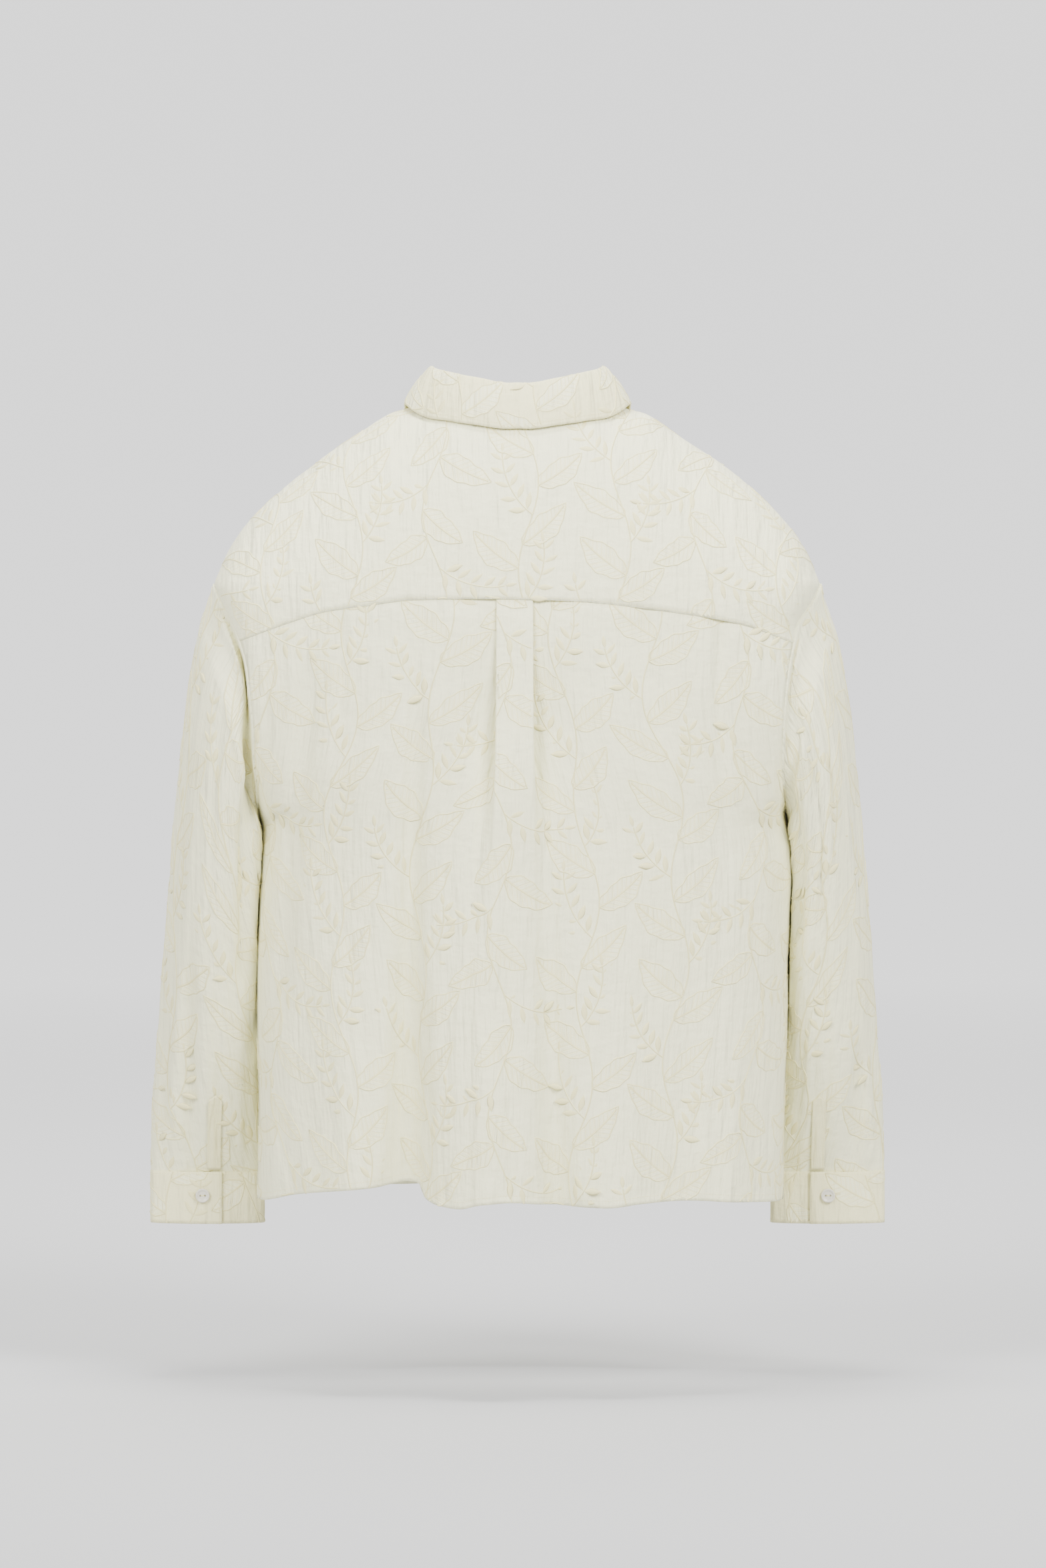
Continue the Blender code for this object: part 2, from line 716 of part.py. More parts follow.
def sleeve_point(v, angle, left, out=0.0):
    """A point of a sleeve: v runs from the armhole to the cuff, the angle from the
    outer line over the back (90 degrees) to the body (180) and on round the front."""
    outer_x = SLEEVE_LINES["outer_x"](v)
    outer_z = SLEEVE_LINES["outer_z"](v)
    inner_z = SLEEVE_LINES["inner_z"](v)
    inner_x = side_x(0.0, inner_z, left) + SLEEVE_LINES["gap_left" if left else "gap_right"](v)
    cuff_blend = ease((v - 6.2) / 1.8)
    inner_x = inner_x + (CUFF_CENTRE_X - CUFF_HALF_WIDTH - inner_x) * cuff_blend
    outer_x = outer_x + (CUFF_CENTRE_X + CUFF_HALF_WIDTH - outer_x) * cuff_blend
    cosine = math.cos(angle)
    sine = math.sin(angle)
    z = 0.5 * (outer_z + inner_z) + 0.5 * (outer_z - inner_z) * cosine
    x = 0.5 * (outer_x + inner_x) + 0.5 * (outer_x - inner_x) * cosine
    depth = SLEEVE_LINES["depth"](v)
    centre_y = SLEEVE_LINES["centre_y"](v)
    if v < 3.0:
        chord = (z - UNDERARM_Z) / (SLEEVE[0].outer_z - UNDERARM_Z)
        armhole_z = UNDERARM_Z + 0.5 * (1 + cosine) * (SLEEVE[0].outer_z - UNDERARM_Z)
        armhole_x = half_width(armhole_z, left)
        straight = 0.5 * (ARMHOLE_TOP_X + half_width(UNDERARM_Z, left)) + 0.5 * (
            ARMHOLE_TOP_X - half_width(UNDERARM_Z, left)) * cosine
        x = x + (armhole_x - straight) * (1 - v / 3.0) ** 2
    side = ARMHOLE_DEPTH_BACK if sine > 0 else ARMHOLE_DEPTH_FRONT
    depth = depth + (side - SLEEVE[0].depth) * max(0.0, 1 - v / 2.0)
    centre_y = centre_y * min(1.0, v / 0.6)
    flat = 1 - 0.22 * cuff_blend
    y = centre_y + depth * math.copysign(abs(sine) ** flat, sine)
    # Towards the middle of the section: the way in, for creases and layers.
    centre = np.array((0.5 * (outer_x + inner_x), centre_y, 0.5 * (outer_z + inner_z)))
    point = np.array((x, y, z))
    plan = np.array((cosine / max(0.5 * (outer_x - inner_x), 0.02), sine / max(depth, 0.01), 0.0))
    normal = plan / np.linalg.norm(plan)
    inwards = 0.0
    for crease in (SLEEVE_CREASES_LEFT if left else SLEEVE_CREASES_RIGHT):
        along = (v - crease.top_v) / (crease.bottom_v - crease.top_v)
        here = crease.top_angle + (crease.bottom_angle - crease.top_angle) * along
        turn = (math.degrees(angle) - here + 180.0) % 360.0 - 180.0
        fade = ease((along + 0.12) / 0.25)
        fade *= ease((1.04 - along) / 0.06) if crease.bottom_v < 8.0 else 1.0
        inwards += crease.depth * fade * math.exp(-((turn) / crease.width) ** 2)
    # The sleeve drops away beside the armhole seam.
    if v < 1.6:
        bump = math.sin(math.pi * min(1.0, v / 1.1)) ** 2
        inwards += 0.0075 * bump * max(0.0, sine) ** 1.5
        inwards += 0.0045 * bump * max(0.0, -sine) ** 1.5
    inwards *= 1 - 0.75 * ease((v - 7.5) / 0.5)
    point = point - normal * (inwards - out)
    # Clear of the body's side.
    if cosine < 0 and v > 0.2:
        limit = side_x(point[1], point[2], left) + 0.0026 * min(1.0, v / 0.5)
        if point[2] < UNDERARM_Z + 0.01 and point[0] < limit:
            point[0] = limit
    # A seam's width outside the body's own edge.
    point[0] += ARMHOLE_SEAM * max(0.0, 1 - v / 0.25)
    if not left:
        point[0] = -point[0]
    return tuple(point)


def turn_of(z):
    """Place round the armhole's oval at a height, from its top (0) to the underarm."""
    middle = 0.5 * (ARMHOLE_TOP_Z + UNDERARM_Z)
    reach = 0.5 * (ARMHOLE_TOP_Z - UNDERARM_Z)
    return math.acos(min(1.0, max(-1.0, (z - middle) / reach)))


def armhole_angles(left):
    """Places round the armhole where the panels' own edges have their points."""
    heights = []
    seam = back_seam_z(1.0, left)
    for row in range(YOKE_BACK_ROWS):
        drop = 1 - row / YOKE_BACK_ROWS
        heights.append(ARMHOLE_TOP_Z + (seam - ARMHOLE_TOP_Z) * drop ** 2)
    angles = [turn_of(z) for z in reversed(heights)]
    edge = lambda width: width if left else -width
    for row in range(1, 20):
        x, z = back_place(row / 20, left, edge)
        if z > UNDERARM_Z + 0.003:
            angles.append(turn_of(z))
    angles.append(math.pi)
    front = []
    for down in front_rows():
        x, z = front_place(down, left, 1.0)
        if z > UNDERARM_Z + 0.003:
            front.append(2 * math.pi - turn_of(z))
    angles.extend(reversed(front))
    top = []
    for row in range(1, YOKE_FRONT_ROWS):
        z = ARMHOLE_TOP_Z - YOKE_FRONT_DROP * (row / YOKE_FRONT_ROWS) ** 2
        top.append(2 * math.pi - turn_of(z))
    angles.extend(reversed(top))
    return [0.0] + angles


def sleeve_angles(left, v):
    """Places round a ring: the panels' own at the armhole, and even ones lower down."""
    first = armhole_angles(left)
    count = len(first)
    edge = cuff_edge_angle(left)
    step = 2 * math.pi / count
    nearest = round(edge / step)
    shift = edge - nearest * step
    blend = ease((v - 0.3) / 2.6)
    return [a + (k * step + shift - a) * blend for k, a in enumerate(first)]


SLEEVE_STATIONS = (0.0, 0.25, 0.55, 0.9, 1.3, 1.8, 2.4, 3.0, 3.7, 4.4, 5.1, 5.8, 6.4, 6.9, 7.3, 7.65, 8.0)


def build_sleeve(name, left, material):
    grid = []
    for v in SLEEVE_STATIONS:
        points = [sleeve_point(v, angle, left) for angle in sleeve_angles(left, v)]
        points.append(points[0])
        grid.append(points if not left else points[::-1])
    return sheet_object(name, [grid], CLOTH, material)


def cuff_point(angle, z, left, lift=0.0):
    """A point of a cuff, whose plan is a flattened round."""
    cosine = math.cos(angle)
    sine = math.sin(angle)
    x = CUFF_CENTRE_X + (CUFF_HALF_WIDTH + lift) * math.copysign(abs(cosine) ** 0.9, cosine)
    y = CUFF_CENTRE_Y + (CUFF_HALF_DEPTH + lift) * math.copysign(abs(sine) ** 0.78, sine)
    return (x if left else -x, y, z)


def cuff_edge_angle(left):
    """Where the cuff's upper end lies, as seen from behind."""
    edge_x = 0.2720 if left else 0.2690
    return math.acos((edge_x - CUFF_CENTRE_X) / CUFF_HALF_WIDTH)


def build_cuff(name, left, material):
    start = cuff_edge_angle(left)
    under = CUFF_OVERLAP / CUFF_HALF_WIDTH
    columns = 34
    rows = 2
    grid = []
    for row in range(rows + 1):
        z = CUFF_TOP_Z + (CUFF_BOTTOM_Z - CUFF_TOP_Z) * row / rows
        points = []
        for k in range(columns + 1):
            part = k / columns
            # From the upper end over the outer side and all the way round, under itself.
            angle = start - part * (2 * math.pi + under)
            lift = (DOUBLE_CLOTH + LAYER_GAP) * ease(1.0 - part * 7.0)
            points.append(cuff_point(angle, z, left, lift))
        grid.append(points if not left else points[::-1])
    return sheet_object(name, [grid], DOUBLE_CLOTH, material)


def build_placket(name, left, material):
    """The strip that binds the slit above a cuff, laid over the sleeve."""
    lay = CLOTH + 0.0007
    stations = [v for v in SLEEVE_STATIONS if v > 6.8]
    stations[-1] = 7.97
    grid = []
    for row, v in enumerate(stations):
        angles = sleeve_angles(left, v)
        nearest = min(range(len(angles)), key=lambda k: abs(angles[k] - cuff_edge_angle(left)))
        points = []
        for k in range(3):
            # Pointed at its upper end.
            peak = 0.12 if row == 0 and k == 1 else 0.0
            points.append(sleeve_point(v - peak, angles[nearest - k], left, lay))
        grid.append(points if left else points[::-1])
    return sheet_object(name, [grid], CLOTH, material)


def button_mesh(diameter):
    """A two-hole button with a raised rim, its face towards +Z, standing on z = 0."""
    radius = 0.5 * diameter
    profile = (
        (0.0, BUTTON_THICKNESS * 0.62),
        (radius * 0.62, BUTTON_THICKNESS * 0.62),
        (radius * 0.80, BUTTON_THICKNESS),
        (radius, BUTTON_THICKNESS * 0.60),
        (radius * 0.86, 0.0),
        (0.0, 0.0),
    )
    mesh = bpy.data.meshes.new("button_profile")
    mesh.from_pydata([(r, 0.0, z) for r, z in profile], [(k, k + 1) for k in range(len(profile) - 1)], [])
    item = bpy.data.objects.new("button_form", mesh)
    SHIRT.objects.link(item)
    screw = item.modifiers.new("turn", "SCREW")
    screw.steps = 14
    screw.render_steps = 14
    screw.use_merge_vertices = True
    screw.merge_threshold = 0.00005
    screw.use_smooth_shade = True
    for side in (-1, 1):
        hole = bpy.data.meshes.new("hole")
        builder = bmesh.new()
        bmesh.ops.create_cone(
            builder, cap_ends=True, segments=6, depth=0.01,
            radius1=0.5 * BUTTON_HOLE_DIAMETER, radius2=0.5 * BUTTON_HOLE_DIAMETER,
        )
        bmesh.ops.translate(builder, verts=builder.verts[:], vec=(side * 0.5 * BUTTON_HOLE_SPACING, 0.0, 0.0))
        builder.to_mesh(hole)
        builder.free()
        cutter = bpy.data.objects.new("button_hole", hole)
        CUTTERS.objects.link(cutter)
        cutter.hide_render = True
        cutter.display_type = "WIRE"
        cut = item.modifiers.new("hole", "BOOLEAN")
        cut.operation = "DIFFERENCE"
        cut.solver = "EXACT"
        cut.object = cutter
    bpy.context.view_layer.update()
    graph = bpy.context.evaluated_depsgraph_get()
    made = bpy.data.meshes.new_from_object(item.evaluated_get(graph))
    made.name = "button"
    bpy.data.objects.remove(item)
    for cutter in list(CUTTERS.objects):
        bpy.data.objects.remove(cutter)
    made.shade_smooth()
    made.set_sharp_from_angle(angle=math.radians(35))
    return made


def place_button(name, mesh, point, out, across, material):
    """Lays a button on a panel: out is the panel's outward way, across the line of holes."""
    z_axis = Vector(out).normalized()
    x_axis = Vector(across)
    x_axis = (x_axis - z_axis * x_axis.dot(z_axis)).normalized()
    y_axis = z_axis.cross(x_axis)
    item = bpy.data.objects.new(name, mesh)
    if not mesh.materials:
        mesh.materials.append(material)
    SHIRT.objects.link(item)
    turn = Matrix((x_axis, y_axis, z_axis)).transposed().to_4x4()
    item.matrix_world = Matrix.Translation(Vector(point)) @ turn
    return item


def build_buttons(material):
    small = button_mesh(BUTTON_DIAMETER)
    large = button_mesh(CUFF_BUTTON_DIAMETER)
    # Down the middle of the button stand.
    for number in range(6):
        z = -0.135 - 0.088 * number
        y = front_point(0.0, z) - front_lift(0.0)
        up = front_point(0.0, z + 0.006)
        down = front_point(0.0, z - 0.006)
        out = (0.0, -1.0, -(down - up) / 0.012)
        normal = Vector(out).normalized()
        point = Vector((0.0, y, z)) + normal * (0.5 * CLOTH + 0.0004)
        place_button("button_%d" % (number + 1), small, point, normal, (0.0, 0.0, 1.0), material)
    # The collar's button.
    foot, top, out = collar_frame(math.pi)
    middle = Vector(foot) * 0.42 + Vector(top) * 0.58
    along = (Vector(top) - Vector(foot)).normalized()
    normal = Vector((0.0, -1.0, 0.0))
    normal = (normal - along * normal.dot(along)).normalized()
    point = middle + Vector(out) * 0.0012 + normal * (0.5 * DOUBLE_CLOTH + 0.0004)
    place_button("button_collar", small, point, normal, (1.0, 0.0, 0.0), material)
    # The cuffs' buttons.
    for name, left, x in (("button_cuff_left", True, 0.2868), ("button_cuff_right", False, 0.2830)):
        cosine = (x - CUFF_CENTRE_X) / CUFF_HALF_WIDTH
        angle = math.acos(math.copysign(abs(cosine) ** (1 / 0.9), cosine))
        spot = cuff_point(angle, -0.7175, left, DOUBLE_CLOTH + LAYER_GAP)
        point = Vector(spot) + Vector((0.0, 0.5 * DOUBLE_CLOTH + 0.0006, 0.0))
        place_button(name, large, point, (0.0, 1.0, 0.0), (1.0, 0.0, 0.0), material)


def main():
    cloth = make_material("embroidered_cloth", (0.735, 0.725, 0.655), 0.85)
    trim = make_material("collar_and_cuff_cloth", (0.700, 0.685, 0.610), 0.85)
    shell = make_material("button_shell", (0.640, 0.615, 0.540), 0.35)
    build_back(cloth)
    build_yoke(cloth)
    build_front("front_left", True, cloth)
    build_front("front_right", False, cloth)
    build_collar_stand(trim)
    build_collar_leaf(trim)
    build_sleeve("sleeve_left", True, cloth)
    build_sleeve("sleeve_right", False, cloth)
    build_cuff("cuff_left", True, trim)
    build_cuff("cuff_right", False, trim)
    build_placket("sleeve_placket_left", True, trim)
    build_placket("sleeve_placket_right", False, trim)
    build_buttons(shell)


for old in list(bpy.data.objects):
    bpy.data.objects.remove(old)
SHIRT = bpy.data.collections.new("embroidered_shirt")
CUTTERS = bpy.data.collections.new("cutters")
bpy.context.scene.collection.children.link(SHIRT)
bpy.context.scene.collection.children.link(CUTTERS)
main()
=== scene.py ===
"""Embroidered shirt: cloth, threads, buttons, and the studio round it."""

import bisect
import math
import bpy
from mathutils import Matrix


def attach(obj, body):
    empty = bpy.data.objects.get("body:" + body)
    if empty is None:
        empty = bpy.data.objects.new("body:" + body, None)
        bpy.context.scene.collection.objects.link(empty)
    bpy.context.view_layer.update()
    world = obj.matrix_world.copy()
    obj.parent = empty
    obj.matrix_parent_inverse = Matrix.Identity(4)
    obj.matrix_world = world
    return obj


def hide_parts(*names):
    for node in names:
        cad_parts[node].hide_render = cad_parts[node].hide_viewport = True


bl_info = {
    "name": "Embroidered Shirt",
    "version": (1, 0, 0),
    "blender": (4, 5, 0),
    "location": "3D View > Sidebar > Shirt",
    "description": "Dresses a hollow long-sleeved shirt in leaf-embroidered cloth",
    "category": "Object",
}

from collections import namedtuple

import bpy
import bmesh
import numpy as np
from mathutils import Vector
from mathutils.bvhtree import BVHTree

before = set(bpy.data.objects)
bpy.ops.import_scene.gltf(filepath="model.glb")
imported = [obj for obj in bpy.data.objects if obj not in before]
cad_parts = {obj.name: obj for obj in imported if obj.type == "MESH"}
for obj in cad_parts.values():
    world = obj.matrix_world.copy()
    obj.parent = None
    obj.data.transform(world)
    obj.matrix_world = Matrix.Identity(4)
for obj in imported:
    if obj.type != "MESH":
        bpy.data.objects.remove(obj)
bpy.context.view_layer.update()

# Walls and clearances of the shirt, in metres.
CLOTH = 0.0012
DOUBLE_CLOTH = 0.0020
SEAM_GAP = 0.0003
LAYER_GAP = 0.0006
ARMHOLE_SEAM = 0.0016

# Body.
UNDERARM_Z = -0.368
ARMHOLE_TOP_X = 0.2735
ARMHOLE_TOP_Z = -0.1586
ARMHOLE_DEPTH_BACK = 0.078
ARMHOLE_DEPTH_FRONT = 0.074
SIDE_ROUNDING = 2.4
NECK_HALF_WIDTH = 0.085
NECK_DEPTH_BACK = 0.065
NECK_DEPTH_FRONT = 0.092
YOKE_FRONT_DROP = 0.018
FRONT_HEM_Z = -0.712
STAND_HALF_WIDTH = 0.016

# Box pleat at the centre back.
PLEAT_CENTRE_X = 0.0024
PLEAT_WIDTH = 0.0325
PLEAT_UNDERLAY = 0.0120
PLEAT_FOLD_RADIUS = 0.0011
PLEAT_OPEN = 0.42

# Columns of the panels before they are made finer.
NECK_COLUMNS = 9
SHOULDER_COLUMNS = 21
SIDE_COLUMNS = 40

# Points inside the body and the sleeves, which their cloth faces away from.
BODY_HEART = (0.0, 0.0, -0.32)
SLEEVE_HEART = (0.275, -0.03, -0.42)

# Collar.
STAND_TOP_HALF_WIDTH = 0.0758
STAND_TOP_BACK = 0.0590
STAND_TOP_FRONT = 0.0870
STAND_HEIGHT = 0.0275

# Cuffs.
CUFF_TOP_Z = -0.6961
CUFF_BOTTOM_Z = -0.7436
CUFF_CENTRE_X = 0.2831
CUFF_HALF_WIDTH = 0.0514
CUFF_HALF_DEPTH = 0.0165
CUFF_CENTRE_Y = -0.056
CUFF_OVERLAP = 0.026

# Buttons.
BUTTON_THICKNESS = 0.0024

# The line along the top of the shoulders, from the middle out to the armhole.
Ridge = namedtuple("Ridge", "x z")
RIDGE = (
    Ridge(0.0000, 0.0340),
    Ridge(0.0300, 0.0305),
    Ridge(0.0600, 0.0195),
    Ridge(0.0850, 0.0050),
    Ridge(0.1000, -0.0005),
    Ridge(0.1140, -0.0040),
    Ridge(0.1287, -0.0128),
    Ridge(0.1480, -0.0262),
    Ridge(0.1845, -0.0506),
    Ridge(0.2144, -0.0750),
    Ridge(0.2397, -0.0994),
    Ridge(0.2583, -0.1238),
    Ridge(0.2696, -0.1482),
    Ridge(0.2735, -0.1586),
)

# How far from the middle each armhole seam lies, at each height.
Armhole = namedtuple("Armhole", "z left right")
ARMHOLE = (
    Armhole(-0.3680, 0.2336, 0.2440),
    Armhole(-0.3416, 0.2338, 0.2392),
    Armhole(-0.3166, 0.2355, 0.2374),
    Armhole(-0.2849, 0.2367, 0.2382),
    Armhole(-0.2532, 0.2397, 0.2402),
    Armhole(-0.2281, 0.2428, 0.2434),
    Armhole(-0.2092, 0.2483, 0.2475),
    Armhole(-0.1946, 0.2544, 0.2510),
    Armhole(-0.1732, 0.2665, 0.2655),
    Armhole(-0.1586, 0.2735, 0.2735),
)

# Sections of the body below the armholes.
Girth = namedtuple("Girth", "z left right back front")
GIRTH = (
    Girth(-0.7300, 0.2367, 0.2410, 0.1270, 0.1160),
    Girth(-0.6260, 0.2345, 0.2422, 0.1260, 0.1160),
    Girth(-0.5660, 0.2360, 0.2446, 0.1250, 0.1165),
    Girth(-0.5070, 0.2366, 0.2458, 0.1240, 0.1170),
    Girth(-0.4526, 0.2357, 0.2489, 0.1235, 0.1180),
    Girth(-0.4215, 0.2350, 0.2512, 0.1230, 0.1180),
    Girth(-0.3950, 0.2343, 0.2505, 0.1225, 0.1180),
    Girth(-0.3680, 0.2336, 0.2440, 0.1220, 0.1180),
)

# The seam between the back and its yoke.
Seam = namedtuple("Seam", "x z")
YOKE_SEAM = (
    Seam(-0.2475, -0.2090),
    Seam(-0.1995, -0.1915),
    Seam(-0.1293, -0.1790),
    Seam(-0.0476, -0.1700),
    Seam(0.0300, -0.1680),
    Seam(0.0921, -0.1690),
    Seam(0.1275, -0.1735),
    Seam(0.1708, -0.1800),
    Seam(0.2080, -0.1915),
    Seam(0.2483, -0.2070),
)

# The back hem.
BACK_HEM = (
    Seam(-0.2410, -0.7165),
    Seam(-0.2000, -0.7123),
    Seam(-0.1500, -0.7090),
    Seam(-0.1130, -0.7101),
    Seam(-0.0800, -0.7132),
    Seam(-0.0300, -0.7107),
    Seam(0.0092, -0.7071),
    Seam(0.0336, -0.7089),
    Seam(0.0519, -0.7131),
    Seam(0.0702, -0.7113),
    Seam(0.0820, -0.7065),
    Seam(0.0885, -0.6935),
    Seam(0.0946, -0.6920),
    Seam(0.1311, -0.6965),
    Seam(0.1677, -0.7009),
    Seam(0.2043, -0.7074),
    Seam(0.2287, -0.7145),
    Seam(0.2367, -0.7160),
)

# The soft folds of the back, from the upper to the lower end of each.
Fold = namedtuple("Fold", "top_x top_z bottom_x bottom_z top_width bottom_width top_out bottom_out")
BACK_FOLDS = (
    Fold(0.0890, -0.1900, 0.1010, -0.7200, 0.0060, 0.0200, -0.0010, -0.0300),
    Fold(0.0300, -0.2900, 0.0330, -0.7200, 0.0200, 0.0330, 0.0000, 0.0180),
    Fold(-0.0165, -0.3000, -0.0340, -0.7200, 0.0080, 0.0160, -0.0010, -0.0170),
    Fold(0.1860, -0.2500, 0.2160, -0.5300, 0.0130, 0.0110, -0.0060, -0.0060),
    Fold(-0.1130, -0.1950, -0.1100, -0.3900, 0.0090, 0.0120, -0.0030, -0.0010),
    Fold(-0.1800, -0.1900, -0.1830, -0.4400, 0.0100, 0.0130, -0.0040, -0.0020),
    Fold(-0.0800, -0.4500, -0.0900, -0.7200, 0.0220, 0.0260, 0.0000, 0.0070),
    Fold(-0.1500, -0.4000, -0.1420, -0.7200, 0.0180, 0.0200, 0.0000, -0.0070),
    Fold(-0.1950, -0.5000, -0.1930, -0.7200, 0.0180, 0.0200, 0.0000, 0.0060),
    Fold(0.1500, -0.4300, 0.1520, -0.7200, 0.0180, 0.0220, 0.0000, 0.0090),
    Fold(0.1950, -0.5300, 0.1960, -0.7200, 0.0130, 0.0150, 0.0000, -0.0050),
)
FRONT_FOLDS = (
    Fold(0.0950, -0.3600, 0.1000, -0.7200, 0.0180, 0.0240, 0.0000, -0.0110),
    Fold(0.1550, -0.2600, 0.1600, -0.7200, 0.0180, 0.0220, -0.0020, 0.0080),
    Fold(-0.0900, -0.3800, -0.0950, -0.7200, 0.0180, 0.0240, 0.0000, -0.0100),
    Fold(-0.1550, -0.2600, -0.1620, -0.7200, 0.0180, 0.0220, -0.0020, 0.0080),
)

# Finer creases that the cloth alone has, placed one by one.
BACK_CREASES = (
    Fold(0.0960, -0.1760, 0.0900, -0.2700, 0.0022, 0.0028, 0.0009, 0.0003),
    Fold(0.0905, -0.1760, 0.0860, -0.2900, 0.0020, 0.0026, -0.0008, -0.0003),
    Fold(0.0985, -0.1780, 0.0955, -0.2500, 0.0018, 0.0022, -0.0007, -0.0002),
    Fold(0.1300, -0.1780, 0.1330, -0.3300, 0.0030, 0.0050, 0.0009, 0.0004),
    Fold(0.1560, -0.1860, 0.1580, -0.3900, 0.0040, 0.0060, -0.0012, -0.0005),
    Fold(0.2130, -0.3900, 0.2200, -0.5400, 0.0045, 0.0060, 0.0022, 0.0012),
    Fold(0.2030, -0.2300, 0.2080, -0.3600, 0.0040, 0.0060, 0.0014, 0.0008),
    Fold(0.0560, -0.1850, 0.0600, -0.3600, 0.0040, 0.0060, 0.0008, 0.0004),
    Fold(-0.0280, -0.1800, -0.0270, -0.3200, 0.0035, 0.0050, 0.0012, 0.0005),
    Fold(-0.0520, -0.1900, -0.0560, -0.4200, 0.0045, 0.0070, -0.0008, -0.0006),
    Fold(-0.0780, -0.2500, -0.0820, -0.5200, 0.0045, 0.0070, 0.0008, 0.0008),
    Fold(-0.1060, -0.1850, -0.1150, -0.3700, 0.0025, 0.0035, 0.0011, 0.0004),
    Fold(-0.1190, -0.1950, -0.1240, -0.3400, 0.0025, 0.0035, -0.0012, -0.0004),
    Fold(-0.1400, -0.2400, -0.1440, -0.4600, 0.0040, 0.0060, 0.0010, 0.0006),
    Fold(-0.1710, -0.1830, -0.1800, -0.4300, 0.0030, 0.0040, 0.0014, 0.0007),
    Fold(-0.1880, -0.1900, -0.1930, -0.4100, 0.0030, 0.0045, 0.0012, 0.0006),
    Fold(-0.2010, -0.2000, -0.2080, -0.3600, 0.0030, 0.0045, -0.0013, -0.0007),
    Fold(-0.2150, -0.2150, -0.2220, -0.4100, 0.0030, 0.0045, 0.0012, 0.0008),
    Fold(0.0080, -0.4200, 0.0060, -0.7100, 0.0050, 0.0080, -0.0009, -0.0014),
    Fold(0.0620, -0.5200, 0.0660, -0.7100, 0.0050, 0.0080, -0.0009, -0.0016),
    Fold(0.1180, -0.5400, 0.1260, -0.7100, 0.0055, 0.0080, 0.0010, 0.0020),
    Fold(-0.0560, -0.4700, -0.0600, -0.7100, 0.0050, 0.0080, 0.0012, 0.0018),
    Fold(-0.1150, -0.4600, -0.1180, -0.7100, 0.0050, 0.0080, -0.0009, -0.0014),
    Fold(-0.1720, -0.4700, -0.1700, -0.7100, 0.0050, 0.0070, 0.0008, 0.0014),
    Fold(-0.2140, -0.5000, -0.2160, -0.7100, 0.0045, 0.0065, -0.0010, -0.0014),
)
FRONT_CREASES = (
    Fold(0.0400, -0.1500, 0.0440, -0.4200, 0.0040, 0.0060, 0.0010, 0.0004),
    Fold(0.0700, -0.1300, 0.0760, -0.3600, 0.0035, 0.0060, -0.0011, -0.0004),
    Fold(0.1260, -0.1000, 0.1330, -0.3600, 0.0040, 0.0060, 0.0012, 0.0006),
    Fold(0.1850, -0.1900, 0.1950, -0.4300, 0.0035, 0.0050, 0.0014, 0.0008),
    Fold(0.2100, -0.2400, 0.2180, -0.4600, 0.0035, 0.0050, -0.0013, -0.0007),
    Fold(0.0600, -0.4800, 0.0640, -0.7100, 0.0050, 0.0080, 0.0009, 0.0016),
    Fold(0.1300, -0.4600, 0.1280, -0.7100, 0.0050, 0.0080, -0.0009, -0.0016),
    Fold(-0.0420, -0.1500, -0.0450, -0.4100, 0.0040, 0.0060, -0.0010, -0.0004),
    Fold(-0.0820, -0.1300, -0.0880, -0.3700, 0.0035, 0.0060, 0.0011, 0.0004),
    Fold(-0.1320, -0.1100, -0.1400, -0.3700, 0.0040, 0.0060, -0.0012, -0.0006),
    Fold(-0.1900, -0.1900, -0.1980, -0.4300, 0.0035, 0.0050, 0.0014, 0.0008),
    Fold(-0.2140, -0.2500, -0.2200, -0.4600, 0.0035, 0.0050, -0.0013, -0.0007),
    Fold(-0.0620, -0.4800, -0.0650, -0.7100, 0.0050, 0.0080, -0.0009, -0.0016),
    Fold(-0.1260, -0.4600, -0.1300, -0.7100, 0.0050, 0.0080, 0.0009, 0.0016),
)
YOKE_CREASES = (
    Fold(0.1500, -0.0500, 0.1750, -0.1700, 0.0050, 0.0060, 0.0010, 0.0004),
    Fold(0.0850, -0.0600, 0.1000, -0.1600, 0.0050, 0.0060, -0.0006, -0.0003),
    Fold(0.0300, -0.0500, 0.0350, -0.1600, 0.0050, 0.0060, 0.0005, 0.0003),
    Fold(-0.0250, -0.0500, -0.0300, -0.1600, 0.0045, 0.0055, 0.0006, 0.0004),
    Fold(-0.0900, -0.0600, -0.1050, -0.1650, 0.0050, 0.0060, 0.0006, 0.0003),
    Fold(-0.1500, -0.0600, -0.1700, -0.1750, 0.0050, 0.0060, -0.0010, -0.0004),
    Fold(-0.1950, -0.0900, -0.2100, -0.1950, 0.0050, 0.0055, 0.0012, 0.0006),
    Fold(0.2050, -0.0900, 0.2200, -0.1950, 0.0050, 0.0055, -0.0010, -0.0006),
)

# Sections of a sleeve, from the armhole to the cuff.
Section = namedtuple("Section", "outer_x outer_z inner_z depth centre_y")
SLEEVE = (
    Section(0.2735, -0.1586, -0.3680, 0.0770, 0.0020),
    Section(0.2893, -0.2031, -0.3850, 0.0790, -0.0040),
    Section(0.3000, -0.2641, -0.4050, 0.0800, -0.0100),
    Section(0.3066, -0.3251, -0.4320, 0.0780, -0.0160),
    Section(0.3122, -0.3861, -0.4650, 0.0740, -0.0220),
    Section(0.3196, -0.4770, -0.5200, 0.0660, -0.0310),
    Section(0.3272, -0.5690, -0.5900, 0.0520, -0.0420),
    Section(0.3320, -0.6301, -0.6400, 0.0370, -0.0500),
    Section(0.3345, -0.6955, -0.6955, 0.0165, -0.0560),
)

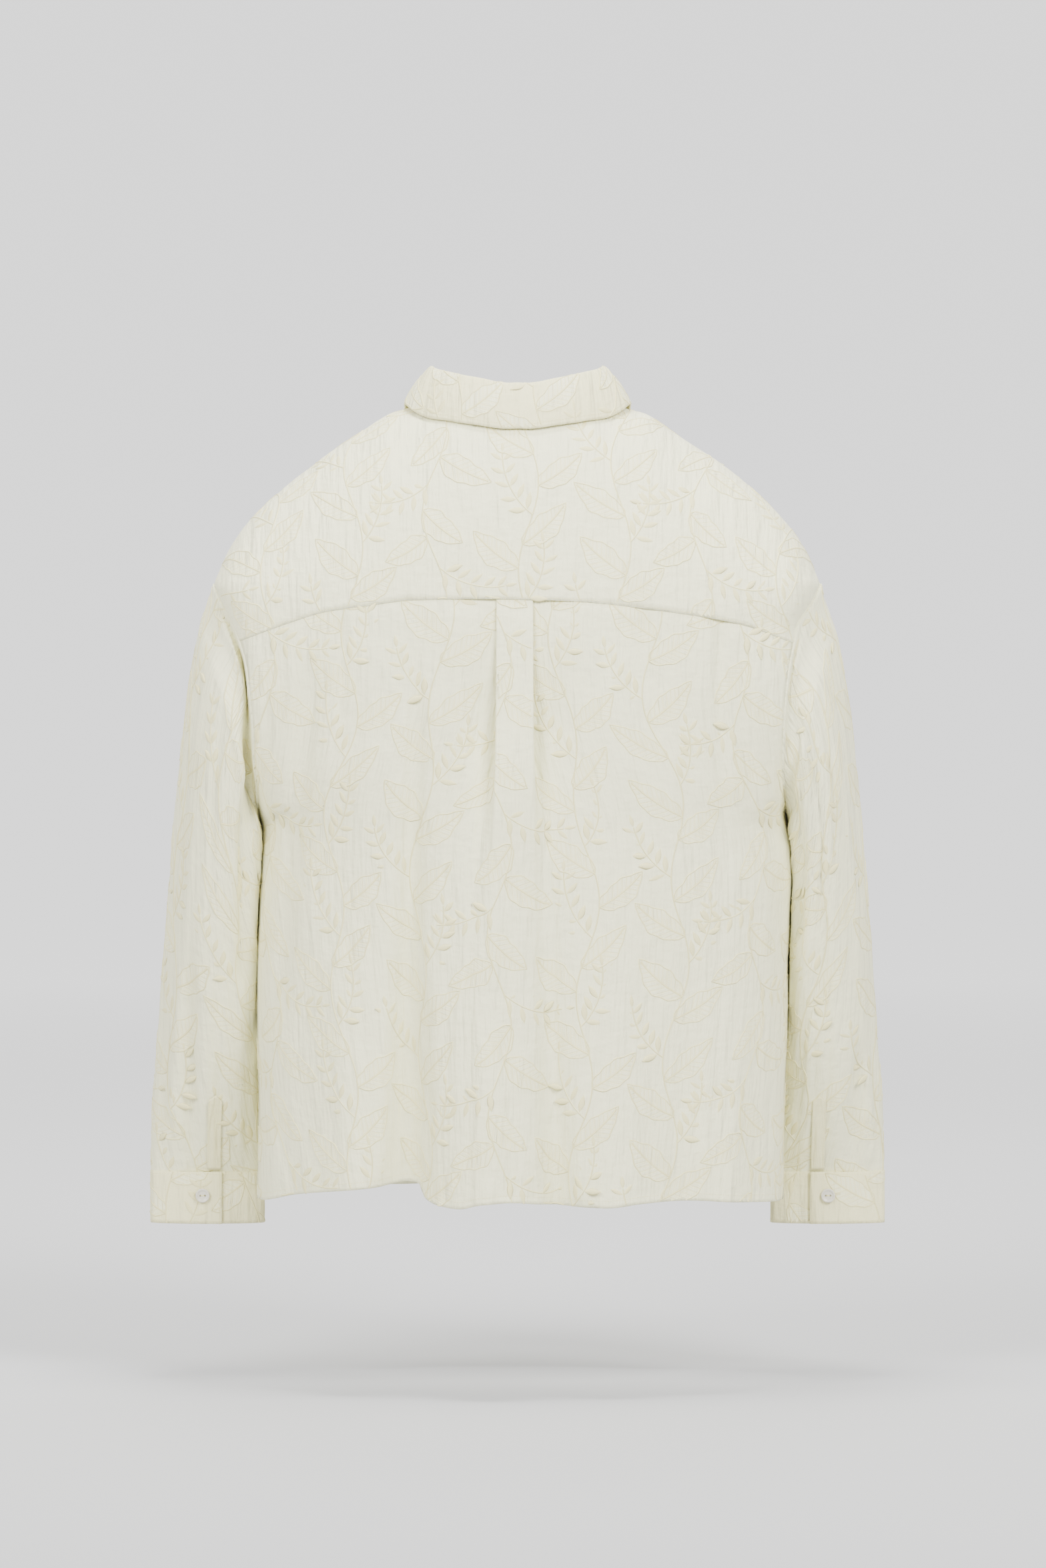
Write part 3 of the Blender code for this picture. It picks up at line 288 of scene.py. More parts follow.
# The lower edge of the collar's leaf, from the middle back (0) to its point (1).
Leaf = namedtuple("Leaf", "around x z")
LEAF = (
    Leaf(0.00, 0.0000, 0.0000),
    Leaf(0.25, 0.0620, 0.0000),
    Leaf(0.50, 0.1020, 0.0000),
    Leaf(0.70, 0.0990, -0.0380),
    Leaf(0.85, 0.0820, -0.0820),
    Leaf(1.00, 0.0570, -0.1260),
)

# Creases of a sleeve, by place round it in degrees and place along it.
Crease = namedtuple("Crease", "top_angle top_v bottom_angle bottom_v width depth")
SLEEVE_CREASES_LEFT = (
    Crease(64.0, 5.2, 74.0, 8.0, 9.0, 0.0060),
    Crease(120.0, 0.4, 128.0, 5.0, 12.0, 0.0060),
    Crease(-70.0, 4.6, -82.0, 8.0, 10.0, 0.0050),
)
SLEEVE_CREASES_RIGHT = (
    Crease(52.0, 6.2, 66.0, 8.0, 9.0, 0.0050),
    Crease(96.0, 1.2, 100.0, 5.5, 10.0, 0.0045),
    Crease(132.0, 0.6, 134.0, 4.4, 11.0, 0.0050),
    Crease(-74.0, 4.8, -84.0, 8.0, 10.0, 0.0050),
)
FINE_SLEEVE_CREASES = (
    Crease(40.0, 0.8, 34.0, 4.2, 4.5, 0.0013),
    Crease(76.0, 1.0, 84.0, 4.0, 4.5, 0.0015),
    Crease(108.0, 0.9, 112.0, 3.6, 4.0, -0.0013),
    Crease(22.0, 2.5, 18.0, 6.4, 5.0, -0.0010),
    Crease(60.0, 3.0, 50.0, 7.2, 4.5, -0.0013),
    Crease(96.0, 5.0, 104.0, 8.0, 5.5, 0.0018),
    Crease(40.0, 5.6, 38.0, 8.0, 5.5, 0.0014),
    Crease(120.0, 5.6, 126.0, 8.0, 5.5, -0.0016),
    Crease(-30.0, 1.0, -34.0, 5.0, 5.0, 0.0014),
    Crease(-62.0, 0.8, -58.0, 4.0, 5.0, -0.0014),
    Crease(-100.0, 1.0, -104.0, 5.0, 5.0, 0.0014),
    Crease(-110.0, 5.0, -112.0, 8.0, 5.5, 0.0016),
    Crease(-44.0, 5.2, -40.0, 8.0, 5.5, -0.0014),
    Crease(150.0, 3.0, 150.0, 7.0, 6.0, 0.0012),
)

# The fold beside the armhole seam, down the sleeve's back.
ARMHOLE_FOLD_PLACE = 0.0042
ARMHOLE_FOLD_WIDTH = 0.0042
ARMHOLE_FOLD_LEFT = 0.0200
ARMHOLE_FOLD_RIGHT = 0.0050

# Where the cuffs' upper ends lie, which hold the buttonholes.
CUFF_EDGE_X_LEFT = 0.2720
CUFF_EDGE_X_RIGHT = 0.2690

# The embroidery's repeat and its upright stems, in millimetres.
REPEAT_WIDTH = 249.0
REPEAT_HEIGHT = 162.0
Stem = namedtuple("Stem", "x swing phase up")
STEMS = (
    Stem(40.0, 9.0, 0.0, True),
    Stem(124.0, 11.0, 2.1, False),
    Stem(205.0, 10.0, 4.0, True),
)
PLANTS_PER_STEM = 6
LEAFLET_TURN = 0.5  # Least cosine between the cloth's ways out under a leaflet's two ends.
LEAFLET_REACH = 0.014  # How far along its way the cloth under a leaflet is looked at.
LEAFLET_ATTRIBUTES = (
    ("facing", "FLOAT_VECTOR", "vector"),
    ("pointing", "FLOAT_VECTOR", "vector"),
    ("reach", "FLOAT", "value"),
)

# Distances between the yarns, and between the rows of stitches in a leaf.
WARP_PITCH = 0.00055
WEFT_PITCH = 0.00060
LEAF_ROW_PITCH = 0.0023
LEAF_NET_PITCH = 0.0037
LEAF_VEIN_PITCH = 0.0105
LEAF_MIDRIB = 0.0009

# A button from the middle of its face to that of its back: shares of its radius and of its thickness.
BUTTON_PROFILE = (
    (0.0, 0.56), (0.45, 0.54), (0.60, 0.58), (0.70, 0.74), (0.78, 0.93), (0.86, 1.0),
    (0.94, 0.93), (0.99, 0.74), (1.0, 0.55), (0.97, 0.30), (0.88, 0.06), (0.0, 0.0),
)
BUTTON_HOLE = 0.00085
BUTTON_HOLE_PLACE = 0.0020
BUTTON_THREAD = Vector((0.0023, 0.00022, 0.00028))
BUTTON_THREAD_PITCH = 0.00035
BUTTONS = (
    "button_1", "button_2", "button_3", "button_4", "button_5", "button_6",
    "button_collar", "button_cuff_left", "button_cuff_right",
)
BUTTONHOLE = 0.0165
CUFF_BUTTONHOLE = 0.0060
CUFF_BUTTONHOLE_PLACE = 0.0095
BUTTONHOLE_WIDTH = 0.0014
BUTTONHOLE_THREAD = 0.00055

# The studio: a bowl of paper, lamps in metres, watts and degrees, and the camera.
FLOOR_Z = -0.886
PAPER_FLAT = 7.0
PAPER_BEND = 5.0
PAPER_BEND_TURN = math.radians(80.0)
Lamp = namedtuple("Lamp", "name place aim width height power spread")
LAMPS = (
    Lamp("key_lamp", (-1.9, 2.6, 1.6), (0.0, 0.0, -0.15), 1.6, 1.6, 60.0, 90.0),
    Lamp("fill_lamp", (2.0, 2.6, 1.45), (0.0, 0.0, -0.15), 1.8, 1.8, 50.0, 90.0),
    Lamp("overhead_lamp", (0.05, 0.2, 2.4), (0.0, 0.0, -0.8), 1.0, 0.5, 85.0, 180.0),
    Lamp("front_lamp", (0.0, -2.0, 1.6), (0.0, 0.0, -0.3), 2.0, 1.6, 60.0, 180.0),
)
SKY = 0.78
CAMERA_DISTANCE = 9.0
CAMERA_RISE = math.radians(3.2)
CAMERA_AIM = Vector((-0.0050, 0.0, -0.3398))
VIEW_HEIGHT = 1.4205


def metres(name, description, default):
    return bpy.props.FloatProperty(name=name, description=description, default=default, unit="LENGTH")


def tint(name, description, *default):
    return bpy.props.FloatVectorProperty(
        name=name, description=description, default=default, subtype="COLOR", size=3,
    )


class ShirtSizes(bpy.types.PropertyGroup):
    shell: metres("Cloth", "Thickness of the single cloth", 0.0008)
    double_shell: metres("Doubled cloth", "Thickness of the collar and cuffs", 0.0018)
    crinkle: metres("Crinkle", "Height of the fine upright crinkles", 0.0012)
    outline_thread: metres("Outline thread", "Radius of the thread round each leaf", 0.00062)
    stitch_pitch: metres("Stitch pitch", "From one seam stitch to the next", 0.0026)
    stitch_thread: metres("Stitch thread", "Radius of the sewing thread", 0.00024)
    button: metres("Button", "Diameter of a front button", 0.0115)
    cuff_button: metres("Cuff button", "Diameter of a cuff button", 0.0130)


class ShirtColours(bpy.types.PropertyGroup):
    cloth: tint("Cloth", "Off-white ground of the cloth", 0.885, 0.874, 0.605)
    # The trim is darker and yellower than the cloth. Partly this is the doubled cloth's own tone, and partly
    # it is painted shade for the cuffs, which hang low and face down. The collar shares it.
    trim: tint("Trim", "Doubled cloth of the collar and cuffs", 0.862, 0.822, 0.500)
    thread: tint("Embroidery", "Cream embroidery thread", 0.845, 0.785, 0.420)
    button: tint("Buttons", "Cream shell of the buttons", 0.700, 0.665, 0.560)
    backdrop: tint("Backdrop", "Pale grey paper behind and below", 0.525, 0.525, 0.525)
    glow: tint("Paper's glow", "Light of the far paper, which the lamps don't reach", 1.180, 1.180, 1.180)


def sizes():
    return bpy.context.scene.shirt_sizes


def colours():
    return bpy.context.scene.shirt_colours


class Line:
    """A smooth line through the rows of a table, held level past its ends."""

    def __init__(self, keys, values):
        self.keys = list(keys)
        self.values = list(values)
        self.slopes = [
            (self.values[k + 1] - self.values[k]) / (self.keys[k + 1] - self.keys[k])
            for k in range(len(self.keys) - 1)
        ]
        self.tangents = [self.slopes[0]]
        for before, after in zip(self.slopes, self.slopes[1:]):
            self.tangents.append(2 * before * after / (before + after) if before * after > 0 else 0.0)
        self.tangents.append(self.slopes[-1])

    def __call__(self, at):
        k = min(max(bisect.bisect_right(self.keys, at) - 1, 0), len(self.keys) - 2)
        h = self.keys[k + 1] - self.keys[k]
        t = min(max((at - self.keys[k]) / h, 0.0), 1.0)
        return (
            self.values[k] * (1 + 2 * t) * (1 - t) ** 2
            + self.tangents[k] * h * t * (1 - t) ** 2
            + self.values[k + 1] * t * t * (3 - 2 * t)
            + self.tangents[k + 1] * h * t * t * (t - 1)
        )


def table_line(table, key, name):
    return Line([getattr(row, key) for row in table], [getattr(row, name) for row in table])


RIDGE_LINE = table_line(RIDGE, "x", "z")
ARMHOLE_LINES = {True: table_line(ARMHOLE, "z", "left"), False: table_line(ARMHOLE, "z", "right")}
SIDE_LINES = {True: table_line(GIRTH, "z", "left"), False: table_line(GIRTH, "z", "right")}
DEPTH_LINES = {True: table_line(GIRTH, "z", "back"), False: table_line(GIRTH, "z", "front")}
YOKE_SEAM_LINE = table_line(YOKE_SEAM, "x", "z")
BACK_HEM_LINE = table_line(BACK_HEM, "x", "z")
SLEEVE_LINES = {
    name: Line(range(len(SLEEVE)), [getattr(row, name) for row in SLEEVE])
    for name in Section._fields
}
LEAF_X_LINE = table_line(LEAF, "around", "x")
LEAF_Z_LINE = table_line(LEAF[2:], "around", "z")


def ease(value):
    value = min(max(value, 0.0), 1.0)
    return value * value * (3 - 2 * value)


def ridge_z(x):
    return RIDGE_LINE(abs(x))


def half_width(z, left):
    """Half width of the body at a height, to the armhole seam or the side seam."""
    return ARMHOLE_LINES[left](z) if z >= UNDERARM_Z else SIDE_LINES[left](z)


def body_depth(x, z, back):
    """How far the smooth body lies behind or before the middle plane."""
    share = min(abs(x) / half_width(z, x >= 0), 1.0)
    girth = DEPTH_LINES[back](z)
    top = ridge_z(share * ARMHOLE_TOP_X)
    rise = min(max((z - UNDERARM_Z) / (top - UNDERARM_Z), 0.0), 1.0)
    middle = girth * math.sqrt(1 - rise ** (3.0 if back else 2.6))
    armhole = (ARMHOLE_DEPTH_BACK if back else ARMHOLE_DEPTH_FRONT) * math.sqrt(4 * rise * (1 - rise))
    falloff = 0.5 + 0.35 * ease(rise / 0.35)
    return armhole + (middle - armhole) * (1 - share ** SIDE_ROUNDING) ** falloff


def fold_height(folds, x, z):
    """Height of the soft folds at a place on a panel."""
    total = 0.0
    for fold in folds:
        down = min(max((fold.top_z - z) / (fold.top_z - fold.bottom_z), 0.0), 1.15)
        centre = fold.top_x + (fold.bottom_x - fold.top_x) * down
        width = fold.top_width + (fold.bottom_width - fold.top_width) * down
        if abs(x - centre) > 4 * width:
            continue
        height = fold.top_out + (fold.bottom_out - fold.top_out) * down
        start = ease((fold.top_z + 0.04 - z) / 0.05)
        end = ease((z - fold.bottom_z + 0.06) / 0.05)
        total += height * start * end * math.exp(-((x - centre) / width) ** 2)
    return total


def panel_depth(x, z, back):
    """The body's depth with its folds, which die out at the side seams."""
    edge = 1 - min(abs(x) / half_width(z, x >= 0), 1.0)
    folds = BACK_FOLDS if back else FRONT_FOLDS
    return body_depth(x, z, back) + fold_height(folds, x, z) * ease(edge / 0.10)


def back_point(x, z):
    return panel_depth(x, z, True) + 0.7 * SEAM_GAP


def front_point(x, z):
    return -panel_depth(x, z, False) - 0.7 * SEAM_GAP


def height_at(x, y, back):
    """Height of the shoulders above a point of the plan, by halving."""
    low = UNDERARM_Z
    high = ridge_z(x)
    for _ in range(32):
        middle = 0.5 * (low + high)
        if body_depth(x, middle, back) > abs(y):
            low = middle
        else:
            high = middle
    return 0.5 * (low + high)


def neck_point(angle):
    """A point of the neck seam. The angle is 0 at the back and 180 at the front."""
    x = NECK_HALF_WIDTH * math.sin(angle)
    depth = NECK_DEPTH_BACK if math.cos(angle) > 0 else NECK_DEPTH_FRONT
    y = depth * math.cos(angle)
    z = height_at(x, y, y > 0)
    return np.array((x, y, z))


def pleat_section(opening):
    """Plan of the box pleat, whose folded sides turn back by the opening angle."""
    turn = math.pi * PLEAT_FOLD_RADIUS
    fractions = [(k + 0.5) / 5 for k in range(5)]
    side = [(turn / 5, opening * part) for part in fractions]
    side += [(PLEAT_UNDERLAY / 4, opening)] * 4
    side += [(turn / 5, opening * part) for part in reversed(fractions)]
    strip = [((PLEAT_WIDTH - 2 * PLEAT_FOLD_RADIUS) / 8, 0.0)] * 8
    across = [0.0]
    out = [0.0]
    for length, angle in side + strip + [(length, -angle) for length, angle in side]:
        across.append(across[-1] + length * math.cos(angle))
        out.append(out[-1] + length * math.sin(angle))
    across = np.array(across)
    out = np.array(out)
    return across - across.mean(), out


def shoulder_part(k):
    return math.sin(0.5 * math.pi * k / SHOULDER_COLUMNS) ** 0.95


def pleat_at(down):
    """The pleat's section at a share of the way down, and how far it has opened."""
    opened = ease((down - 0.04) / 0.44)
    across, out = pleat_section(math.pi * (1 - opened) + PLEAT_OPEN * opened)
    spread = 1 + 0.30 * ease((down - 0.2) / 0.8)
    level = (1 - opened) * (out.max() - 0.0015)
    return [PLEAT_CENTRE_X + x * spread for x in across], [n - level for n in out], level


def back_seam_z(share, left):
    """Height of the yoke's back seam on the line with this share of the width."""
    sign = 1.0 if left else -1.0
    z = -0.18
    for _ in range(6):
        x = sign * share * half_width(z, left)
        z = YOKE_SEAM_LINE(x) + 0.5 * SEAM_GAP
    return z


def back_columns(down, left):
    """Where the columns beside the pleat lie on a row, as a function of the width."""
    sign = 1.0 if left else -1.0
    across, _, _ = pleat_at(down)
    edge = abs(across[-1] if left else across[0])
    return [
        lambda width, part=k / SIDE_COLUMNS: sign * (edge + (width - edge) * part)
        for k in range(1, SIDE_COLUMNS + 1)
    ]


def back_place(down, left, place):
    """Height and x of a column at a share of the way from the seam to the hem."""
    x = 0.0
    z = -0.169 - 0.53 * down
    for _ in range(5):
        x = place(half_width(z, left))
        seam = YOKE_SEAM_LINE(x) - 0.5 * SEAM_GAP
        z = seam + (BACK_HEM_LINE(x) - seam) * down
    return x, z


def beside_pleat(down, left, level):
    """A row's points from the pleat to the side, sunk beside the pleat's own layers."""
    points = []
    for place in back_columns(down, left):
        x, z = back_place(down, left, place)
        sunk = level * math.exp(-(max(0.0, abs(x) - 0.018) / 0.026) ** 2)
        points.append((x, back_point(x, z) - sunk, z))
    return points


def back_grid(rows):
    grid = []
    for row in range(rows + 1):
        down = row / rows
        across, out, level = pleat_at(down)
        points = []
        for x, n in zip(across, out):
            x, z = back_place(down, x >= 0, lambda width, x=x: x)
            points.append((x, back_point(x, z) + n, z))
        grid.append(beside_pleat(down, False, level)[::-1] + points + beside_pleat(down, True, level))
    return np.array(grid)


def surface_from_ridge(share, left, drop_share, seam_z, back):
    """A point over the shoulder, measured from the ridge (0) to a seam (1)."""
    sign = 1.0 if left else -1.0
    top = ridge_z(share * ARMHOLE_TOP_X)
    z = top + (seam_z - top) * drop_share ** 2
    width = half_width(z, left)
    x = sign * share * width
    y = body_depth(x, z, back)
    return (x, y if back else -y, z)


def front_seam_z(share):
    return ridge_z(share * ARMHOLE_TOP_X) - YOKE_FRONT_DROP


def neck_share_front(drop_share):
    """Where a row of the yoke before the ridge meets the neck seam."""
    share = NECK_HALF_WIDTH / ARMHOLE_TOP_X
    for _ in range(12):
        point = surface_from_ridge(share, True, drop_share, front_seam_z(share), False)
        x = NECK_HALF_WIDTH * math.sqrt(max(0.0, 1 - (point[1] / NECK_DEPTH_FRONT) ** 2))
        share = x / ARMHOLE_TOP_X
    return share


def neck_drop_back(share):
    """How far down from the ridge the back neck seam lies, on the seam's own scale."""
    x = share * ARMHOLE_TOP_X
    depth = NECK_DEPTH_BACK * math.sqrt(max(0.0, 1 - (x / NECK_HALF_WIDTH) ** 2))
    z = height_at(x, depth, True)
    top = ridge_z(x)
    seam = back_seam_z(share, True)
    return math.sqrt(max(0.0, (top - z) / (top - seam)))


def yoke_grids(rows_back, rows_front):
    neck_share = NECK_HALF_WIDTH / ARMHOLE_TOP_X
    grids = []
    grid = []
    for row in range(rows_back + 1):
        points = []
        for k in range(-NECK_COLUMNS, NECK_COLUMNS + 1):
            share = neck_share * math.sin(0.5 * math.pi * abs(k) / NECK_COLUMNS)
            start = neck_drop_back(share) if abs(k) < NECK_COLUMNS else 0.0
            drop = start + (1 - start) * (1 - row / rows_back)
            points.append(surface_from_ridge(share, k >= 0, drop, back_seam_z(share, k >= 0), True))
        grid.append(points)
    grids.append(np.array(grid))
    for left in (False, True):
        grid = []
        for row in range(rows_back + rows_front + 1):
            points = []
            for k in range(SHOULDER_COLUMNS + 1):
                part = shoulder_part(k)
                if row <= rows_back:
                    share = neck_share + (1 - neck_share) * part
                    drop = 1 - row / rows_back
                    point = surface_from_ridge(share, left, drop, back_seam_z(share, left), True)
                else:
                    drop = (row - rows_back) / rows_front
                    inner = neck_share_front(drop)
                    share = inner + (1 - inner) * part
                    seam = front_seam_z(share) + 0.5 * SEAM_GAP
                    point = surface_from_ridge(share, left, drop, seam, False)
                points.append(point)
            grid.append(points if left else points[::-1])
        grids.append(np.array(grid))
    return grids


def front_top_z(share):
    """Top edge of a front: the neck seam near the middle, then the yoke's seam."""
    z = front_seam_z(share) - 0.5 * SEAM_GAP
    x = share * ARMHOLE_TOP_X
    if x < NECK_HALF_WIDTH:
        depth = NECK_DEPTH_FRONT * math.sqrt(1 - (x / NECK_HALF_WIDTH) ** 2)
        z = min(z, height_at(x, depth, False))
    return z


def front_lift(x):
    """The left front lies over the right one along the button stand."""
    return (CLOTH + LAYER_GAP + 0.0002) * ease((STAND_HALF_WIDTH + 0.016 - x) / 0.014)


def front_grid(left, rows):
    corner = neck_share_front(1.0)
    places = [(0.0, -STAND_HALF_WIDTH + 0.004 * k) for k in range(4)]
    turn = math.asin(corner * ARMHOLE_TOP_X / NECK_HALF_WIDTH)
    places += [(0.0, NECK_HALF_WIDTH * math.sin(turn * k / 13)) for k in range(13)]
    for k in range(SIDE_COLUMNS + 1):
        places.append((corner + (1 - corner) * k / SIDE_COLUMNS, None))
    tops = [front_top_z(share if middle is None else abs(middle) / ARMHOLE_TOP_X) for share, middle in places]
    grid = []
    for row in range(rows + 1):
        down = (row / rows) ** 1.08
        points = []
        for (share, middle_x), top in zip(places, tops):
            hem = FRONT_HEM_Z - 0.004 * share ** 2
            z = top + (hem - top) * down
            x = share * half_width(z, left) if middle_x is None else middle_x
            place = x if left else -x
            y = front_point(place, z)
            if left:
                y -= front_lift(x)
            points.append((place, y, z))
        grid.append(points if left else points[::-1])
    return np.array(grid)


def collar_lift(angle):
    """The left end of the collar's stand lies over the right one at the front."""
    return (DOUBLE_CLOTH + LAYER_GAP) * ease((angle - math.pi + 0.32) / 0.22)


def collar_frame(angle):
    """Foot of the collar's stand, its top, and the way outwards in plan."""
    raised = 0.0010 + 0.0022 * max(0.0, -math.cos(angle))
    raised += 0.0010 * math.exp(-((abs(math.degrees(angle)) - 98.0) / 14.0) ** 2)
    foot = neck_point(angle) + np.array((0.0, 0.0, raised))
    top_depth = STAND_TOP_BACK if math.cos(angle) > 0 else STAND_TOP_FRONT
    rise = STAND_HEIGHT - 0.0025 * max(0.0, -math.cos(angle))
    top = np.array((STAND_TOP_HALF_WIDTH * math.sin(angle), top_depth * math.cos(angle), foot[2] + rise))
    out = np.array((math.sin(angle) / NECK_HALF_WIDTH, math.cos(angle) / NECK_DEPTH_FRONT, 0.0))
    out = out / np.linalg.norm(out)
    lift = collar_lift(angle)
    return foot + out * lift, top + out * lift, out


def stand_grid():
    grid = []
    ends = [174.0, 180.0, 184.0, 189.5]
    degrees = [-degree for degree in reversed(ends)] + [5.0 * k for k in range(-34, 35)] + ends
    for row in range(5):
        up = row / 4
        points = []
        for degree in degrees:
            foot, top, out = collar_frame(math.radians(degree))
            points.append(foot + (top - foot) * up + out * 0.0012 * math.sin(math.pi * up))
        grid.append(points)
    return np.array(grid)


def leaf_edge(around):
    """Lower edge of the collar's leaf, from the middle back (0) to its point (1)."""
    x = LEAF_X_LINE(around)
    clear = 0.5 * CLOTH + 0.5 * DOUBLE_CLOTH + 0.0006
    clear += 0.0038 * math.exp(-((around - 0.50) / 0.11) ** 2)
    if around <= 0.5:
        turn = math.asin(min(1.0, x / 0.1020))
        y = 0.0715 * math.cos(turn)
        z = height_at(x, y, True)
        return np.array((x, y + clear * math.cos(turn), z + clear))
    z = min(LEAF_Z_LINE(around), ridge_z(x) - 0.00005)
    y = -body_depth(x, z, False)
    return np.array((x, y - clear * 1.2, z + clear))


def leaf_grid():
    hook = ((0.0, 0.0014), (0.0003, 0.0027), (0.0017, 0.0036), (0.0035, 0.0027))
    below = 8
    grid = [[] for _ in range(len(hook) + below)]
    degrees = [-174.0, -171.0, -168.0] + [7.5 * k for k in range(-22, 23)] + [168.0, 171.0, 174.0]
    for degree in degrees:
        angle = math.radians(degree)
        _, top, out = collar_frame(angle)
        around = abs(degree) / 174.0
        wide = 1.25 * collar_lift(abs(angle)) if angle < 0 else 0.0
        for index, (outwards, up) in enumerate(hook):
            point = top + out * (outwards + wide * index / 3) + np.array((0.0, 0.0, up))
            grid[index].append(point)
        start = np.array(grid[len(hook) - 1][-1])
        end = leaf_edge(around)
        if angle < 0:
            end = end * np.array((-1.0, 1.0, 1.0))
        span = np.linalg.norm(end - start)
        middle = 0.5 * (start + end) + out * 0.10 * span + np.array((0.0, 0.0, 0.04 * span))
        for k in range(1, below + 1):
            t = k / below
            point = start * (1 - t) ** 2 + 2 * middle * t * (1 - t) + end * t * t
            grid[len(hook) + k - 1].append(point)
    return np.array(grid)


def side_x(y, z, left):
    """Where the body's side lies at this depth and height."""
    width = half_width(min(z, UNDERARM_Z), left)
    depth = DEPTH_LINES[y > 0](min(z, UNDERARM_Z))
    share = min(1.0, abs(y) / depth)
    return width * (1 - share ** 2) ** (1 / SIDE_ROUNDING)


def crease_depth(creases, v, angle):
    total = 0.0
    for crease in creases:
        along = (v - crease.top_v) / (crease.bottom_v - crease.top_v)
        here = crease.top_angle + (crease.bottom_angle - crease.top_angle) * along
        turn = (math.degrees(angle) - here + 180.0) % 360.0 - 180.0
        fade = ease((along + 0.12) / 0.25)
        fade *= ease((1.04 - along) / 0.06) if crease.bottom_v < 8.0 else 1.0
        total += crease.depth * fade * math.exp(-(turn / crease.width) ** 2)
    return total


def sleeve_section(v, cosine, sine, left):
    """A point of the smooth sleeve, without its creases, and the way out there."""
    outer_x = SLEEVE_LINES["outer_x"](v)
    outer_z = SLEEVE_LINES["outer_z"](v)
    inner_z = SLEEVE_LINES["inner_z"](v)
    inner_x = side_x(0.0, inner_z, left) - 0.006 * ease(v / 1.5)
    cuff_blend = ease((v - 6.2) / 1.8)
    inner_x = inner_x + (CUFF_CENTRE_X - CUFF_HALF_WIDTH - inner_x) * cuff_blend
    outer_x = outer_x + (CUFF_CENTRE_X + CUFF_HALF_WIDTH - outer_x) * cuff_blend
    z = 0.5 * (outer_z + inner_z) + 0.5 * (outer_z - inner_z) * cosine
    x = 0.5 * (outer_x + inner_x) + 0.5 * (outer_x - inner_x) * cosine
    if v < 3.0:
        armhole_z = UNDERARM_Z + 0.5 * (1 + cosine) * (SLEEVE[0].outer_z - UNDERARM_Z)
        armhole_x = half_width(armhole_z, left)
        under_x = half_width(UNDERARM_Z, left)
        straight = 0.5 * (ARMHOLE_TOP_X + under_x) + 0.5 * (ARMHOLE_TOP_X - under_x) * cosine
        x = x + (armhole_x - straight) * (1 - v / 3.0) ** 2
    side = ARMHOLE_DEPTH_BACK if sine > 0 else ARMHOLE_DEPTH_FRONT
    depth = SLEEVE_LINES["depth"](v) + (side - SLEEVE[0].depth) * max(0.0, 1 - v / 2.0)
    centre_y = SLEEVE_LINES["centre_y"](v) * min(1.0, v / 0.6)
    flat = 1 - 0.22 * cuff_blend
    if cosine < 0 < sine:
        flat -= 0.24 * -cosine * ease(v / 1.5) * (1 - cuff_blend)
    y = centre_y + depth * math.copysign(abs(sine) ** flat, sine)
    plan = np.array((cosine / max(0.5 * (outer_x - inner_x), 0.02), sine / max(depth, 0.01), 0.0))
    return np.array((x, y, z)), plan / np.linalg.norm(plan)


def armhole_fold(x, z, v, left):
    """How far the sleeve drops away beside the armhole seam, in a deep fold down its back."""
    beside = x - half_width(z, left)
    sink = math.exp(-((beside - ARMHOLE_FOLD_PLACE) / ARMHOLE_FOLD_WIDTH) ** 2) * ease(v / 0.10)
    sink *= ease((ARMHOLE_TOP_Z - 0.008 - z) / 0.060) * ease((z - UNDERARM_Z + 0.030) / 0.060)
    return sink * (ARMHOLE_FOLD_LEFT if left else ARMHOLE_FOLD_RIGHT)


def sleeve_point(v, angle, left, out=0.0):
    """A point of a sleeve: v runs from the armhole to the cuff, the angle from the
    outer line over the back (90 degrees) to the body (180) and on round the front."""
    cosine = math.cos(angle)
    sine = math.sin(angle)
    point, normal = sleeve_section(v, cosine, sine, left)
    sink = armhole_fold(point[0], point[2], v, left) if sine > 0 else 0.0
    inwards = crease_depth(SLEEVE_CREASES_LEFT if left else SLEEVE_CREASES_RIGHT, v, angle)
    if v < 1.6:
        bump = math.sin(math.pi * min(1.0, v / 1.1)) ** 2
        inwards += 0.0075 * bump * max(0.0, sine) ** 1.5
        inwards += 0.0045 * bump * max(0.0, -sine) ** 1.5
    inwards += crease_depth(FINE_SLEEVE_CREASES, v, angle if left else angle + 0.14)
    inwards *= 1 - 0.75 * ease((v - 7.5) / 0.5)
    point = point - normal * (inwards - out)
    point[1] -= sink
    if cosine < 0 and v > 0.2:
        limit = side_x(point[1], point[2], left) + 0.0011 * min(1.0, v / 0.5)
        if point[2] < UNDERARM_Z + 0.01 and point[0] < limit:
            point[0] = limit
    point[0] += ARMHOLE_SEAM * max(0.0, 1 - v / 0.25)
    if not left:
        point[0] = -point[0]
    return tuple(point)


def sleeve_grid(left, stations=52, around=76):
    """From the underarm over the front, the outer line and the back to the underarm again."""
    grid = []
    for row in range(stations + 1):
        v = 8.0 * (row / stations) ** 1.1
        turns = [math.pi * (2.0 * k / around - 1.0) for k in range(around + 1)]
        points = [sleeve_point(v, turn, left) for turn in turns]
        grid.append(points[::-1] if left else points)
    return np.array(grid)


def cuff_point(angle, z, left, lift=0.0):
    """A point of a cuff, whose plan is a flattened round."""
    cosine = math.cos(angle)
    sine = math.sin(angle)
    x = CUFF_CENTRE_X + (CUFF_HALF_WIDTH + lift) * math.copysign(abs(cosine) ** 0.9, cosine)
    y = CUFF_CENTRE_Y + (CUFF_HALF_DEPTH + lift) * math.copysign(abs(sine) ** 0.78, sine)
    return (x if left else -x, y, z)


def cuff_edge_angle(left):
    """Where the cuff's upper end lies, as seen from behind."""
    edge_x = CUFF_EDGE_X_LEFT if left else CUFF_EDGE_X_RIGHT
    return math.acos((edge_x - CUFF_CENTRE_X) / CUFF_HALF_WIDTH)


